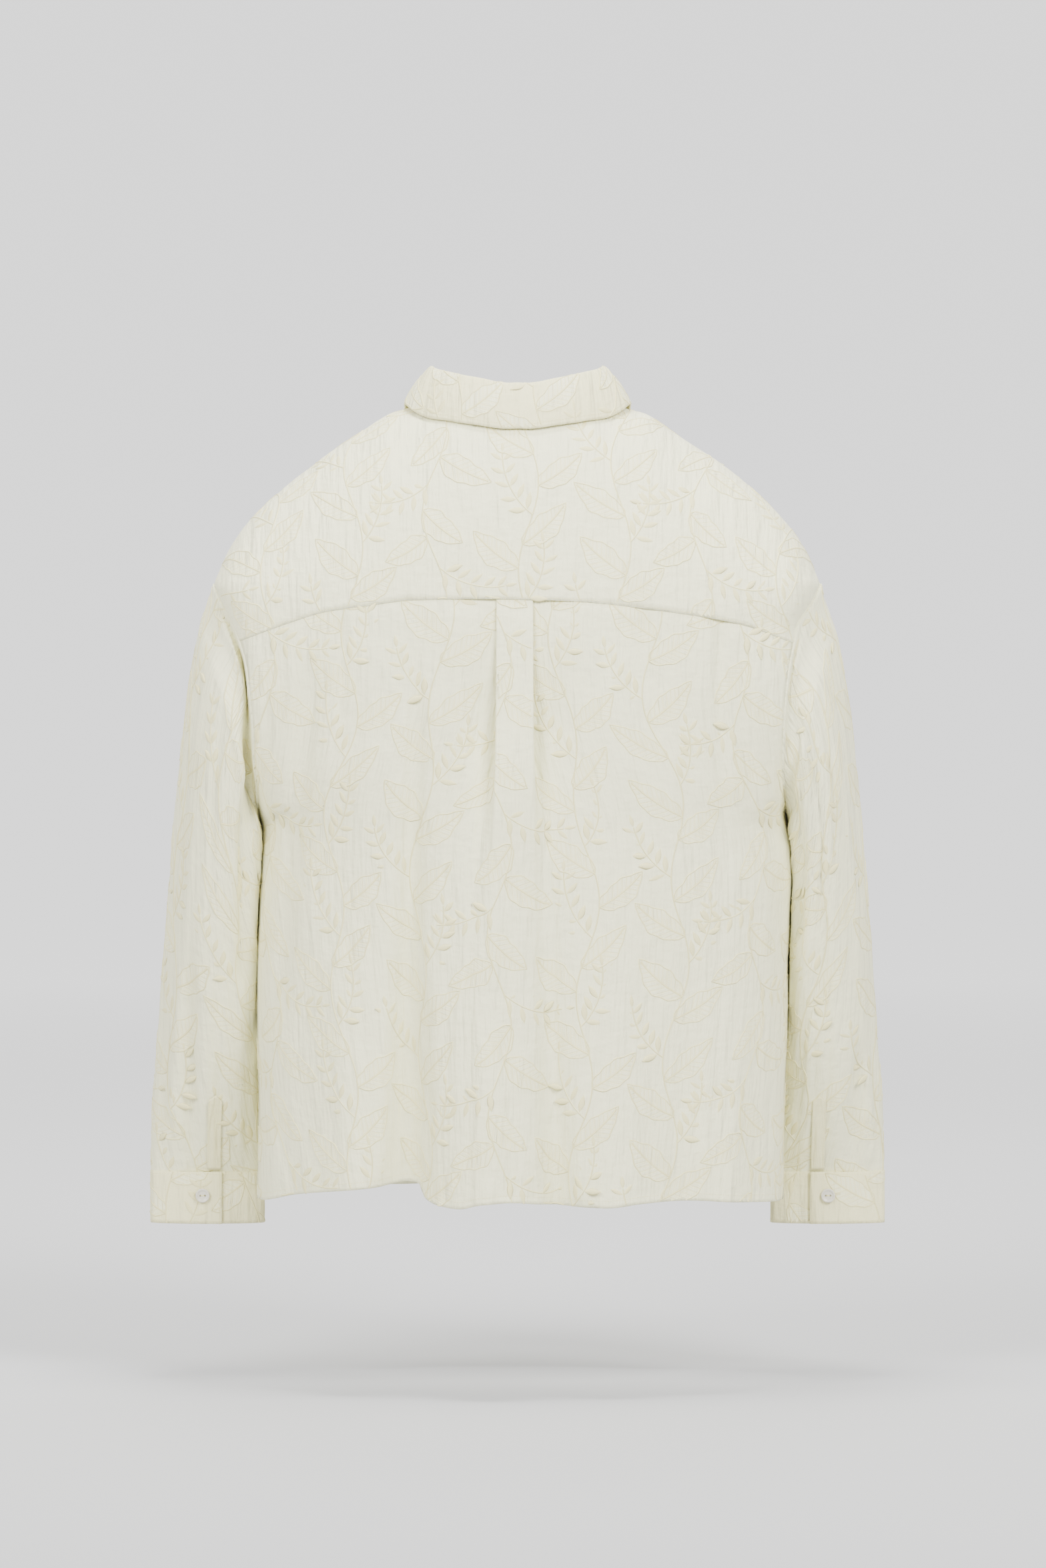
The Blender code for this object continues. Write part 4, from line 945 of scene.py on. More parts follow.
def cuff_grid(left, columns=84, rows=6):
    start = cuff_edge_angle(left)
    under = CUFF_OVERLAP / CUFF_HALF_WIDTH
    grid = []
    for row in range(rows + 1):
        z = CUFF_TOP_Z + (CUFF_BOTTOM_Z - CUFF_TOP_Z) * row / rows
        points = []
        for k in range(columns + 1):
            part = k / columns
            angle = start - part * (2 * math.pi + under)
            lift = (DOUBLE_CLOTH + LAYER_GAP) * ease(1.0 - part * 7.0)
            points.append(cuff_point(angle, z, left, lift))
        grid.append(points if not left else points[::-1])
    return np.array(grid)


def placket_grid(left):
    """The strip that binds the slit above a cuff, laid over the sleeve."""
    lay = CLOTH + 0.0007
    middle = cuff_edge_angle(left)
    grid = []
    rows = 14
    for row in range(rows + 1):
        v = 6.88 + (7.97 - 6.88) * row / rows
        points = []
        for k in range(7):
            shift = math.radians(7.0) * (1.0 - k / 3)
            peak = 0.10 * (1 - abs(k - 3) / 3) * (1 - row / rows)
            points.append(sleeve_point(v - peak, middle + shift - math.radians(5.0), left, lay))
        grid.append(points if left else points[::-1])
    return np.array(grid)


def finer(points, times):
    """More rows on smooth lines through the given ones."""
    ends = [2 * points[:1] - points[1:2], points, 2 * points[-1:] - points[-2:-1]]
    padded = np.concatenate(ends)
    a, b, c, d = padded[:-3], padded[1:-2], padded[2:-1], padded[3:]
    steps = []
    for k in range(times):
        t = k / times
        steps.append(0.5 * (
            2 * b + (c - a) * t + (2 * a - 5 * b + 4 * c - d) * t ** 2
            + (3 * b - a - 3 * c + d) * t ** 3
        ))
    rows = np.stack(steps, axis=1).reshape(-1, *points.shape[1:])
    return np.concatenate([rows, points[-1:]])


def finer_grid(grid, rows, columns):
    grid = finer(grid, rows)
    return finer(grid.transpose(1, 0, 2), columns).transpose(1, 0, 2)


def soft_noise(u, v, seed):
    """Smooth seeded noise from -1 to 1 over a plane."""
    table = np.random.default_rng(seed).random((64, 64)) * 2 - 1
    i = np.floor(u).astype(int)
    j = np.floor(v).astype(int)
    s = u - i
    t = v - j
    s = s * s * (3 - 2 * s)
    t = t * t * (3 - 2 * t)
    i0, i1, j0, j1 = i % 64, (i + 1) % 64, j % 64, (j + 1) % 64
    top = table[i0, j0] * (1 - s) + table[i1, j0] * s
    low = table[i0, j1] * (1 - s) + table[i1, j1] * s
    return top * (1 - t) + low * t


def ways_out(points, heart):
    """The outward way at each point of a grid, and 1 or -1 as its rows and columns turn."""
    across = np.gradient(points, axis=1)
    down = np.gradient(points, axis=0)
    normals = np.cross(across, down)
    normals /= np.maximum(np.linalg.norm(normals, axis=2, keepdims=True), 1e-12)
    turn = 1.0 if ((points - np.array(heart)) * normals).sum() > 0 else -1.0
    return normals * turn, turn


def along(points, axis):
    """Distance run along a grid's rows (axis 1) or columns (axis 0)."""
    steps = np.linalg.norm(np.diff(points, axis=axis), axis=2)
    start = np.zeros_like(steps[:1] if axis == 0 else steps[:, :1])
    return np.cumsum(np.concatenate([start, steps], axis=axis), axis=axis)


class Panel:
    """A piece of cloth: its points, the ways out, and the places on the flat cloth."""

    def __init__(self, name, grids, flats, heart):
        self.name = name
        self.grids = grids
        self.flats = flats
        self.normals = [ways_out(grid, heart)[0] for grid in grids]
        self.turn = ways_out(grids[0], heart)[1]
        corners = []
        sides = []
        base = 0
        for flat in flats:
            rows, columns = flat.shape[:2]
            corners.append(flat.reshape(-1, 2))
            index = base + np.arange(rows * columns).reshape(rows, columns)
            a, b = index[:-1, :-1].ravel(), index[:-1, 1:].ravel()
            c, d = index[1:, 1:].ravel(), index[1:, :-1].ravel()
            sides.append(np.stack([a, b, c], axis=1))
            sides.append(np.stack([a, c, d], axis=1))
            base += rows * columns
        self.corners = np.concatenate(corners)
        self.sides = np.concatenate(sides)
        self.places = np.concatenate([grid.reshape(-1, 3) for grid in grids])
        self.outs = np.concatenate([normal.reshape(-1, 3) for normal in self.normals])
        tree_points = [Vector((u, v, 0.0)) for u, v in self.corners]
        self.tree = BVHTree.FromPolygons(tree_points, [tuple(side) for side in self.sides.tolist()])

    def lay(self, u, v, lift=0.0):
        """The point of the cloth over a place of the flat cloth, and its way out."""
        hit = self.tree.ray_cast(Vector((u, v, 1.0)), Vector((0.0, 0.0, -1.0)))
        if hit[0] is None:
            return None
        a, b, c = self.sides[hit[2]]
        ua, va = self.corners[a]
        ub, vb = self.corners[b]
        uc, vc = self.corners[c]
        area = (ub - ua) * (vc - va) - (uc - ua) * (vb - va)
        wb = ((u - ua) * (vc - va) - (uc - ua) * (v - va)) / area
        wc = ((ub - ua) * (v - va) - (u - ua) * (vb - va)) / area
        wa = 1 - wb - wc
        out = self.outs[a] * wa + self.outs[b] * wb + self.outs[c] * wc
        out = out / np.linalg.norm(out)
        return self.places[a] * wa + self.places[b] * wb + self.places[c] * wc + out * lift, out

    def reach(self):
        return self.corners.min(axis=0), self.corners.max(axis=0)


PANELS = {}


def new_object(name, mesh):
    item = bpy.data.objects.new(name, mesh)
    bpy.context.scene.collection.objects.link(item)
    return item


def settle(item):
    """Works an object's modifiers into its mesh."""
    bpy.context.view_layer.update()
    graph = bpy.context.evaluated_depsgraph_get()
    made = bpy.data.meshes.new_from_object(item.evaluated_get(graph))
    item.modifiers.clear()
    old = item.data
    item.data = made
    bpy.data.meshes.remove(old)
    made.name = item.name
    return made


def cloth_mesh(panel):
    """One open sheet from a panel's grids, with its flat places as its UV map."""
    mesh = bpy.data.meshes.new(panel.name)
    builder = bmesh.new()
    layer = builder.loops.layers.uv.new("flat")
    for grid, flat in zip(panel.grids, panel.flats):
        verts = [[builder.verts.new(point) for point in row] for row in grid.tolist()]
        places = flat.tolist()
        for i in range(len(verts) - 1):
            for j in range(len(verts[0]) - 1):
                corners = ((i, j), (i + 1, j), (i + 1, j + 1), (i, j + 1))
                face = builder.faces.new([verts[r][c] for r, c in corners])
                for loop, (r, c) in zip(face.loops, corners):
                    loop[layer].uv = places[r][c]
    bmesh.ops.remove_doubles(builder, verts=builder.verts[:], dist=0.00002)
    builder.normal_update()
    builder.to_mesh(mesh)
    builder.free()
    mesh.shade_smooth()
    return mesh


def cloth_piece(panel, node, wall, material):
    """The shell of a piece of cloth, in place of its node."""
    item = new_object(panel.name, cloth_mesh(panel))
    item.data.materials.append(material)
    if panel.turn > 0:
        item.data.flip_normals()
    solid = item.modifiers.new("wall", "SOLIDIFY")
    solid.thickness = wall
    solid.offset = 0.0
    solid.use_even_offset = False
    solid.use_quality_normals = True
    settle(item).shade_smooth()
    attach(item, "root")
    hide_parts(node)
    "cloth" if material == body_cloth() else "trim"
    PANELS[node] = panel
    return item


def tucked(grid, flat, edge, move, steps=2):
    """Adds rows past an edge, which pass under the next piece of the shirt."""
    line = grid[0] if edge == "top" else grid[-1]
    place = flat[0] if edge == "top" else flat[-1]
    inner = flat[3] if edge == "top" else flat[-4]
    way = place - inner
    way = way / np.maximum(np.linalg.norm(way, axis=1, keepdims=True), 1e-9)
    length = np.linalg.norm(move, axis=-1).mean()
    rows = [line + move * (k / steps) for k in range(1, steps + 1)]
    places = [place + way * length * (k / steps) for k in range(1, steps + 1)]
    if edge == "top":
        rows.reverse()
        places.reverse()
        return np.concatenate([np.array(rows), grid]), np.concatenate([np.array(places), flat])
    return np.concatenate([grid, np.array(rows)]), np.concatenate([flat, np.array(places)])


def crinkled(grid, flat, strength, seed, heart, keep=None):
    """Adds the fine upright crinkles of the cloth along its ways out."""
    u, v = flat[..., 0], flat[..., 1]
    warp = 0.35 * soft_noise(u / 0.03, v / 0.05, seed + 5)
    high = soft_noise(u / 0.0085 + warp, v / 0.060, seed)
    middle = soft_noise(u / 0.017 + warp, v / 0.110, seed + 1)
    low = soft_noise(u / 0.045, v / 0.160, seed + 2)
    cross = soft_noise(u / 0.030, v / 0.020, seed + 3)
    where = 0.65 + 0.35 * soft_noise(u / 0.08, v / 0.12, seed + 4)
    height = strength * (0.55 * high * where + 0.75 * middle + 0.9 * low + 0.28 * cross)
    if keep is not None:
        height = height * keep
    return grid + ways_out(grid, heart)[0] * height[..., None]


def edge_keep(grid, rows=4, columns=4):
    """1 inside a grid and 0 along its edges, so that seams still meet."""
    count_r, count_c = grid.shape[:2]
    i = np.arange(count_r)
    j = np.arange(count_c)
    r = np.clip(np.minimum(i, count_r - 1 - i) / rows, 0, 1)
    c = np.clip(np.minimum(j, count_c - 1 - j) / columns, 0, 1)
    return (r * r * (3 - 2 * r))[:, None] * (c * c * (3 - 2 * c))[None, :]


def eased_underarm(grid):
    """Softens the change of depth across the body at the height of the underarms."""
    y = grid[..., 1]
    blurred = y.copy()
    for _ in range(3):
        padded = np.concatenate([blurred[:1], blurred, blurred[-1:]])
        blurred = 0.25 * padded[:-2] + 0.5 * padded[1:-1] + 0.25 * padded[2:]
    near = np.exp(-((grid[..., 2] - UNDERARM_Z) / 0.045) ** 2)
    columns = np.arange(grid.shape[1])
    inner = np.clip((np.minimum(columns, grid.shape[1] - 1 - columns) - 1) / 7, 0, 1)[None, :]
    grid[..., 1] = y + (blurred - y) * near * inner
    return grid


def with_folds(grid, folds, back):
    """Adds listed creases to a body panel, behind or before it."""
    count_r, count_c = grid.shape[:2]
    keep = edge_keep(grid, 3, 3)
    sign = 1.0 if back else -1.0
    for i in range(count_r):
        for j in range(count_c):
            grid[i, j, 1] += sign * keep[i, j] * fold_height(folds, grid[i, j, 0], grid[i, j, 2])
    return grid


def flat_places(grid, middle, start_v=None, upwards=False):
    """Places on the flat cloth: across from the middle column, and down the columns."""
    u = along(grid, 1)
    u = u - u[:, middle:middle + 1]
    v = along(grid, 0)
    if upwards:
        v = -v
    base = -grid[:1, :, 2] if start_v is None else start_v
    return np.stack([u, v + base], axis=2)


def sheet_piece(node, grids, flats, heart, wall, material, **sheet):
    """A piece of cloth in place of its node. The sheet it is cut from is not used."""
    piece = cloth_piece(Panel(node + "_cloth", grids, flats, heart), node, wall, material)
    return piece


def make_back(material):
    grid = finer_grid(eased_underarm(back_grid(38)), 4, 2)
    middle = grid.shape[1] // 2
    flat = flat_places(grid, middle)
    columns = np.abs(np.arange(grid.shape[1]) - middle)
    down = np.linspace(0, 1, grid.shape[0])[:, None]
    beside = np.clip((columns - 36) / 10, 0, 1)[None, :]
    opened = np.clip((down - 0.30) / 0.3, 0, 1)
    keep = edge_keep(grid, 5, 4) * np.maximum(beside, opened)
    keep[-6:, :] = keep[-7:-6, :]
    grid = with_folds(grid, BACK_CREASES, True)
    grid = crinkled(grid, flat, sizes().crinkle, 11, BODY_HEART, keep)
    run = flat[..., 1] - flat[:1, :, 1]
    grid[..., 1] -= 0.0009 * np.exp(-(run / 0.0035) ** 2)
    strip = np.clip((40 - columns) / 6, 0, 1)[None, :]
    grid[..., 1] -= 0.0019 * strip * np.exp(-(run / 0.016) ** 2)
    move = np.zeros((grid.shape[1], 3)) + np.array((0.0, -0.0006, 0.0045))
    grid, flat = tucked(grid, flat, "top", move)
    return sheet_piece(
        "back", [grid], [flat], BODY_HEART, sizes().shell, material,
        flat=(0.600, 0.560), held="hung", area=0.310,
    )


def make_yoke(material):
    grids = []
    flats = []
    for index, grid in enumerate(yoke_grids(18, 4)):
        grid = finer_grid(grid, 3, 3)
        reach = np.abs(grid[..., 0])
        u = np.sign(grid[..., 0]) * (reach + 0.12 * np.clip(reach - 0.08, 0, None))
        v = -grid[:1, :, 2] - along(grid, 0)
        flat = np.stack([u, v], axis=2)
        shape = edge_keep(grid, 5, 4)
        inner = edge_keep(grid, 5, 1).max(axis=1)
        half = grid.shape[1] // 2
        if index == 0:
            shape[:] = inner[:, None]
        elif index == 1:
            shape[:, half:] = inner[:, None]
        else:
            shape[:, :half] = inner[:, None]
        for i, j in np.ndindex(shape.shape):
            if grid[i, j, 1] > 0:
                grid[i, j, 1] += shape[i, j] * fold_height(YOKE_CREASES, grid[i, j, 0], grid[i, j, 2])
        noise = 0.8 * soft_noise(u / 0.020, v / 0.07, 31)
        noise += 0.3 * soft_noise(u / 0.009, v / 0.04, 32)
        noise += 0.9 * soft_noise(u / 0.050, v / 0.09, 33)
        height = 0.55 * sizes().crinkle * shape * noise
        grids.append(grid + ways_out(grid, BODY_HEART)[0] * height[..., None])
        flats.append(flat)
    return sheet_piece(
        "yoke", grids, flats, BODY_HEART, sizes().shell, material,
        flat=(0.610, 0.320), held="stretched", area=0.130,
    )


def make_front(left, material):
    side = "left" if left else "right"
    grid = finer_grid(eased_underarm(front_grid(left, 40)), 3, 2)
    middle = 0 if left else grid.shape[1] - 1
    flat = flat_places(grid, middle)
    keep = edge_keep(grid, 5, 5)
    keep[-6:, :] = keep[-7:-6, :]
    grid = with_folds(grid, FRONT_CREASES, False)
    grid = crinkled(grid, flat, sizes().crinkle, 41 if left else 51, BODY_HEART, keep)
    return sheet_piece(
        "front_" + side, [grid], [flat], BODY_HEART, sizes().shell, material,
        flat=(0.340, 0.700), held="hung", area=0.200,
    )


def sleeve_heart(left):
    return tuple(np.array(SLEEVE_HEART) * np.array((1.0 if left else -1.0, 1.0, 1.0)))


def make_sleeve(left, material):
    side = "left" if left else "right"
    grid = finer_grid(sleeve_grid(left), 2, 2)
    flat = flat_places(grid, grid.shape[1] // 2)
    flat[..., 1] = flat[..., 1].mean(axis=1, keepdims=True)
    keep = edge_keep(grid, 5, 4)
    grid = crinkled(grid, flat, sizes().crinkle, 61 if left else 71, sleeve_heart(left), keep)
    ring = grid[0].mean(axis=0) - grid[0]
    ring[:, 0] = 0.0
    ring /= np.linalg.norm(ring, axis=1, keepdims=True)
    move = ring * 0.0024
    move[:, 0] = -0.0062 if left else 0.0062
    grid, flat = tucked(grid, flat, "top", move)
    ring = grid[-1].mean(axis=0) - grid[-1]
    ring /= np.linalg.norm(ring, axis=1, keepdims=True)
    grid, flat = tucked(grid, flat, "bottom", ring * 0.0016 + np.array((0.0, 0.0, -0.005)))
    return sheet_piece(
        "sleeve_" + side, [grid], [flat], sleeve_heart(left), sizes().shell, material,
        flat=(0.580, 0.450), held="hung", area=0.160,
    )


def make_cuff(left, material):
    side = "left" if left else "right"
    grid = finer_grid(cuff_grid(left), 2, 2)
    flat = flat_places(grid, grid.shape[1] // 2)
    noise = 0.00025 * soft_noise(flat[..., 0] / 0.02, flat[..., 1] / 0.012, 81 if left else 82)
    height = noise * edge_keep(grid, 2, 3)
    grid = grid + ways_out(grid, sleeve_heart(left))[0] * height[..., None]
    return sheet_piece(
        "cuff_" + side, [grid], [flat], sleeve_heart(left), sizes().double_shell, material,
        flat=(0.264, 0.048), held="folded",
    )


def make_placket(left, material):
    side = "left" if left else "right"
    grid = finer_grid(placket_grid(left), 2, 2)
    flat = flat_places(grid, grid.shape[1] // 2)
    return sheet_piece(
        "sleeve_placket_" + side, [grid], [flat], (0.283 if left else -0.283, -0.05, -0.66),
        sizes().shell, material, flat=(0.014, 0.070), held="folded",
    )


def make_collar(material):
    grid = finer_grid(stand_grid(), 2, 2)
    flat = flat_places(grid, grid.shape[1] // 2)
    sheet_piece(
        "collar_stand", [grid], [flat], (0.0, 0.0, -0.01), sizes().double_shell, material,
        flat=(0.560, 0.029), held="folded",
    )
    grid = finer_grid(leaf_grid(), 2, 3)
    flat = flat_places(grid, grid.shape[1] // 2)
    noise = 0.0004 * soft_noise(flat[..., 0] / 0.03, flat[..., 1] / 0.03, 91)
    height = noise * edge_keep(grid, 5, 3)
    heart = (0.0, 0.0, -0.05)
    grid = grid + ways_out(grid, heart)[0] * height[..., None]
    return sheet_piece(
        "collar_leaf", [grid], [flat], heart, sizes().double_shell, material,
        flat=(0.560, 0.075), held="folded", area=0.034,
    )


class Number:
    """A shader number that Python's own signs work on."""

    def __init__(self, graph, socket):
        self.graph = graph
        self.socket = socket

    def __add__(self, other):
        return self.graph.math("ADD", self, other)

    def __sub__(self, other):
        return self.graph.math("SUBTRACT", self, other)

    def __mul__(self, other):
        return self.graph.math("MULTIPLY", self, other)

    def __pow__(self, other):
        return self.graph.math("POWER", self, other)

    __radd__ = __add__


class Graph:
    """A tree of nodes, and ways to add to it."""

    def __init__(self, tree):
        self.tree = tree

    def node(self, kind, settings=None, **values):
        """Adds a node: its settings first, then the values or links of its sockets."""
        node = self.tree.nodes.new(kind)
        for name, value in (settings or {}).items():
            setattr(node, name, value)
        for name, value in values.items():
            self.feed(node.inputs[name.replace("_", " ")], value)
        return node

    def feed(self, socket, value):
        if isinstance(value, Number):
            value = value.socket
        if isinstance(value, bpy.types.NodeSocket):
            self.tree.links.new(value, socket)
        else:
            socket.default_value = value

    def math(self, operation, *values):
        node = self.node("ShaderNodeMath", {"operation": operation})
        for socket, value in zip(node.inputs, values):
            self.feed(socket, value)
        return Number(self, node.outputs[0])


class Finish(Graph):
    """A material and its nodes."""

    def __init__(self, name, roughness, sheen=0.0):
        self.material = bpy.data.materials.new(name)
        self.material.use_nodes = True
        super().__init__(self.material.node_tree)
        self.shader = self.tree.nodes["Principled BSDF"]
        self.set(Roughness=roughness, Sheen_Weight=sheen, Sheen_Roughness=0.5, Specular_IOR_Level=0.25)

    def set(self, **values):
        """Feeds the shader's own sockets."""
        for name, value in values.items():
            self.feed(self.shader.inputs[name.replace("_", " ")], value)

    def place(self):
        return self.node("ShaderNodeTexCoord").outputs["Object"]

    def places(self, name):
        """The places of one of the mesh's UV maps."""
        return self.node("ShaderNodeUVMap", {"uv_map": name}).outputs[0]

    def split(self, source):
        node = self.node("ShaderNodeSeparateXYZ", Vector=source)
        return [Number(self, socket) for socket in node.outputs]

    def blend(self, share, first, second):
        """A colour between two colours."""
        node = self.node("ShaderNodeMix", {"data_type": "RGBA"})
        for index, value in ((0, share), (6, first), (7, second)):
            self.feed(node.inputs[index], value)
        return node.outputs[2]

    def noise(self, source, scale, detail=2.0):
        scaled = self.node("ShaderNodeMapping", Vector=source, Scale=scale).outputs[0]
        node = self.node("ShaderNodeTexNoise", Vector=scaled, Scale=1.0, Detail=detail)
        return Number(self, node.outputs["Fac"])

    def bump(self, height, distance, strength=1.0, **normal):
        node = self.node("ShaderNodeBump", Height=height, Distance=distance, Strength=strength, **normal)
        return node.outputs[0]

    def wave(self, along, length):
        """A sine with this distance from crest to crest."""
        return self.math("SINE", along * (2 * math.pi / length))

    def crinkles(self, flat):
        """The crinkles and ripples that the cloth and the leaves on it share."""
        crinkle = self.noise(flat, (210.0, 26.0, 1.0))
        ripple = self.noise(flat, (70.0, 9.0, 1.0))
        return self.bump(crinkle * 0.45 + ripple, 0.0046)


def rgba(colour, factor=1.0):
    return (*[channel * factor for channel in colour], 1.0)


def woven_cloth(name, ground, pucker=1.0):
    """Fine plain weave with thin uneven yarns, crinkles, and puckers round the stitching."""
    finish = Finish(name, 0.82, 0.12)
    flat = finish.places("flat")
    u, v, _ = finish.split(flat)
    slub = finish.noise(flat, (1500.0, 60.0, 1.0), 1.0)
    cross_slub = finish.noise(flat, (60.0, 1300.0, 1.0), 1.0)
    yarn = finish.wave(u, WARP_PITCH) * finish.wave(v, WEFT_PITCH) * 0.7 + slub * 0.7 + cross_slub * 0.35
    puckers = finish.noise(flat, (70.0, 110.0, 1.0))
    normal = finish.bump(puckers, 0.0013 * pucker, Normal=finish.crinkles(flat))
    normal = finish.bump(yarn, 0.00005, 0.7, Normal=normal)
    patch = finish.noise(flat, (9.0, 5.0, 1.0), 3.0)
    base = rgba(ground)
    warm = (base[0] * 0.985, base[1] * 0.975, base[2] * 0.93, 1.0)
    colour = finish.blend(patch, base, warm)
    colour = finish.blend((slub + cross_slub) * 0.22, colour, rgba(warm[:3], 0.93))
    finish.set(Base_Color=colour, Normal=normal, Roughness=0.78 + slub * 0.12)
    return finish.material


def embroidery_thread(name, factor=1.0):
    """Smooth twisted thread, a little creamier than the cloth."""
    finish = Finish(name, 0.62, 0.15)
    place = finish.place()
    twist = finish.noise(place, (2600.0, 2600.0, 2600.0), 1.0)
    shade = finish.noise(place, (60.0, 60.0, 60.0))
    base = rgba(colours().thread, factor)
    colour = finish.blend(shade, base, rgba(base[:3], 0.95))
    colour = finish.blend(twist * 0.3, colour, rgba(base[:3], 0.86))
    finish.set(Base_Color=colour, Normal=finish.bump(twist, 0.00012))
    return finish.material


def leaf_filling(name):
    """Open rows of stitches that fill a leaf, slanting away from its midrib."""
    finish = Finish(name, 0.74, 0.15)
    leaf = finish.places("leaf")
    along_leaf, aside, _ = finish.split(leaf)
    across = finish.math("ABSOLUTE", aside)
    wander = finish.noise(leaf, (150.0, 150.0, 1.0))
    rows = finish.wave(along_leaf - across * 0.75 + wander * 0.0024, LEAF_ROW_PITCH) * 0.5 + 0.5
    net = finish.wave(along_leaf + across * 1.6 + wander * 0.0014, LEAF_NET_PITCH) * 0.5 + 0.5
    veins = finish.wave(along_leaf - across * 0.8, LEAF_VEIN_PITCH) ** 8.0
    patch = finish.noise(leaf, (60.0, 80.0, 1.0))
    stitch = finish.math("MAXIMUM", rows, net * 0.8)
    midrib = finish.math("LESS_THAN", across, LEAF_MIDRIB)
    amount = stitch * finish.math("MULTIPLY_ADD", patch, 1.3, -0.25)
    amount = finish.math("MAXIMUM", amount, finish.math("MAXIMUM", midrib, veins * 0.8))
    share = finish.math("MINIMUM", amount, 1.0)
    weave = finish.noise(leaf, (1800.0, 1800.0, 1.0), 1.0)
    height = amount * 0.9 + weave * 0.4 + patch * 0.5
    finish.set(
        Base_Color=finish.blend(share, rgba(colours().cloth), rgba(colours().thread)),
        Normal=finish.bump(height, 0.00034, Normal=finish.crinkles(finish.places("flat"))),
    )
    return finish.material


def button_shell(name):
    finish = Finish(name, 0.32)
    cloud = finish.noise(finish.place(), (180.0, 180.0, 420.0), 3.0)
    base = rgba(colours().button)
    finish.set(
        Base_Color=finish.blend(cloud, base, rgba(base[:3], 0.88)), Normal=finish.bump(cloud, 0.00006),
        Specular_IOR_Level=0.5, Coat_Weight=0.25, Coat_Roughness=0.2,
    )
    return finish.material


def material_of(name, maker, *values):
    """Each finish is made once."""
    found = bpy.data.materials.get(name)
    return found if found else maker(name, *values)


def body_cloth():
    return material_of("embroidered_cloth", woven_cloth, colours().cloth)


# The collar and cuffs take the trim colour, which holds painted shade for the low cuffs as well as the
# doubled cloth's own tone.
def trim_cloth():
    return material_of("collar_and_cuff_cloth", woven_cloth, colours().trim, 0.8)


class Growth(Graph):
    """A Geometry Nodes tree, which ends in real meshes of one material."""

    def __init__(self, name, **inputs):
        super().__init__(bpy.data.node_groups.new(name, "GeometryNodeTree"))
        sockets = self.tree.interface
        sockets.new_socket(name="Geometry", in_out="OUTPUT", socket_type="NodeSocketGeometry")
        for label, kind in {"Geometry": "Geometry", **inputs, "Material": "Material"}.items():
            sockets.new_socket(name=label, in_out="INPUT", socket_type="NodeSocket" + kind)
        self.start = self.node("NodeGroupInput").outputs

    def ended(self, geometry):
        real = self.node("GeometryNodeRealizeInstances", Geometry=geometry)
        material = self.start["Material"]
        paint = self.node("GeometryNodeSetMaterial", Geometry=real.outputs[0], Material=material)
        self.node("NodeGroupOutput", Geometry=paint.outputs[0])
        return self.tree


def thread_tree(name):
    """Turns drawn lines into round threads."""
    growth = Growth(name, Radius="Float", Sides="Int")
    start = growth.start
    curve = growth.node("GeometryNodeMeshToCurve", Mesh=start["Geometry"]).outputs[0]
    ring = growth.node("GeometryNodeCurvePrimitiveCircle", Radius=start["Radius"], Resolution=start["Sides"])
    sweep = growth.node(
        "GeometryNodeCurveToMesh", Curve=curve, Profile_Curve=ring.outputs["Curve"], Fill_Caps=True,
    )
    smooth = growth.node("GeometryNodeSetShadeSmooth", Geometry=sweep.outputs[0])
    return growth.ended(smooth.outputs[0])


def stitch_tree(name):
    """Sets a short thread stitch at each step of a drawn line."""
    growth = Growth(name, Pitch="Float", Radius="Float")
    start = growth.start
    curve = growth.node("GeometryNodeMeshToCurve", Mesh=start["Geometry"]).outputs[0]
    steps = growth.node("GeometryNodeCurveToPoints", {"mode": "LENGTH"}, Curve=curve, Length=start["Pitch"])
    bead = growth.node("GeometryNodeMeshUVSphere", Segments=5, Rings=4)
    half_length = growth.math("MULTIPLY", start["Pitch"], 0.40)
    size = growth.node("ShaderNodeCombineXYZ", X=start["Radius"], Y=start["Radius"], Z=half_length)
    shape = growth.node("GeometryNodeTransform", Geometry=bead.outputs["Mesh"], Scale=size.outputs[0])
    copies = growth.node(
        "GeometryNodeInstanceOnPoints", Points=steps.outputs["Points"], Rotation=steps.outputs["Rotation"],
        Instance=shape.outputs[0],
    )
    smooth = growth.node("GeometryNodeSetShadeSmooth", Geometry=copies.outputs[0])
    return growth.ended(smooth.outputs[0])


def leaflet_tree(name):
    """Sets a satin-stitched leaflet on each point, turned as its attributes say."""
    growth = Growth(name, Leaflet="Object")
    shape = growth.node("GeometryNodeObjectInfo", Object=growth.start["Leaflet"])
    points = growth.node("GeometryNodeMeshToPoints", Mesh=growth.start["Geometry"])
    facing, pointing, reach = [
        growth.node("GeometryNodeInputNamedAttribute", {"data_type": kind}, Name=label).outputs["Attribute"]
        for label, kind, _ in LEAFLET_ATTRIBUTES
    ]
    turn = growth.node("FunctionNodeAxesToRotation", {"primary_axis": "Z", "secondary_axis": "X"})
    growth.feed(turn.inputs[0], facing)
    growth.feed(turn.inputs[1], pointing)
    copies = growth.node(
        "GeometryNodeInstanceOnPoints", Points=points.outputs[0], Instance=shape.outputs["Geometry"],
        Rotation=turn.outputs[0], Scale=reach,
    )
    return growth.ended(copies.outputs[0])


def grown(item, tree_name, tree_maker, **values):
    """Runs a geometry tree on an object, keeps its result as a plain mesh and hands it to the part."""
    tree = bpy.data.node_groups.get(tree_name) or tree_maker(tree_name)
    modifier = item.modifiers.new("grow", "NODES")
    modifier.node_group = tree
    for socket in tree.interface.items_tree:
        if socket.item_type == "SOCKET" and socket.in_out == "INPUT" and socket.name in values:
            modifier[socket.identifier] = values[socket.name]
    item.data.update()
    settle(item)
    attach(item, "root")
    return item


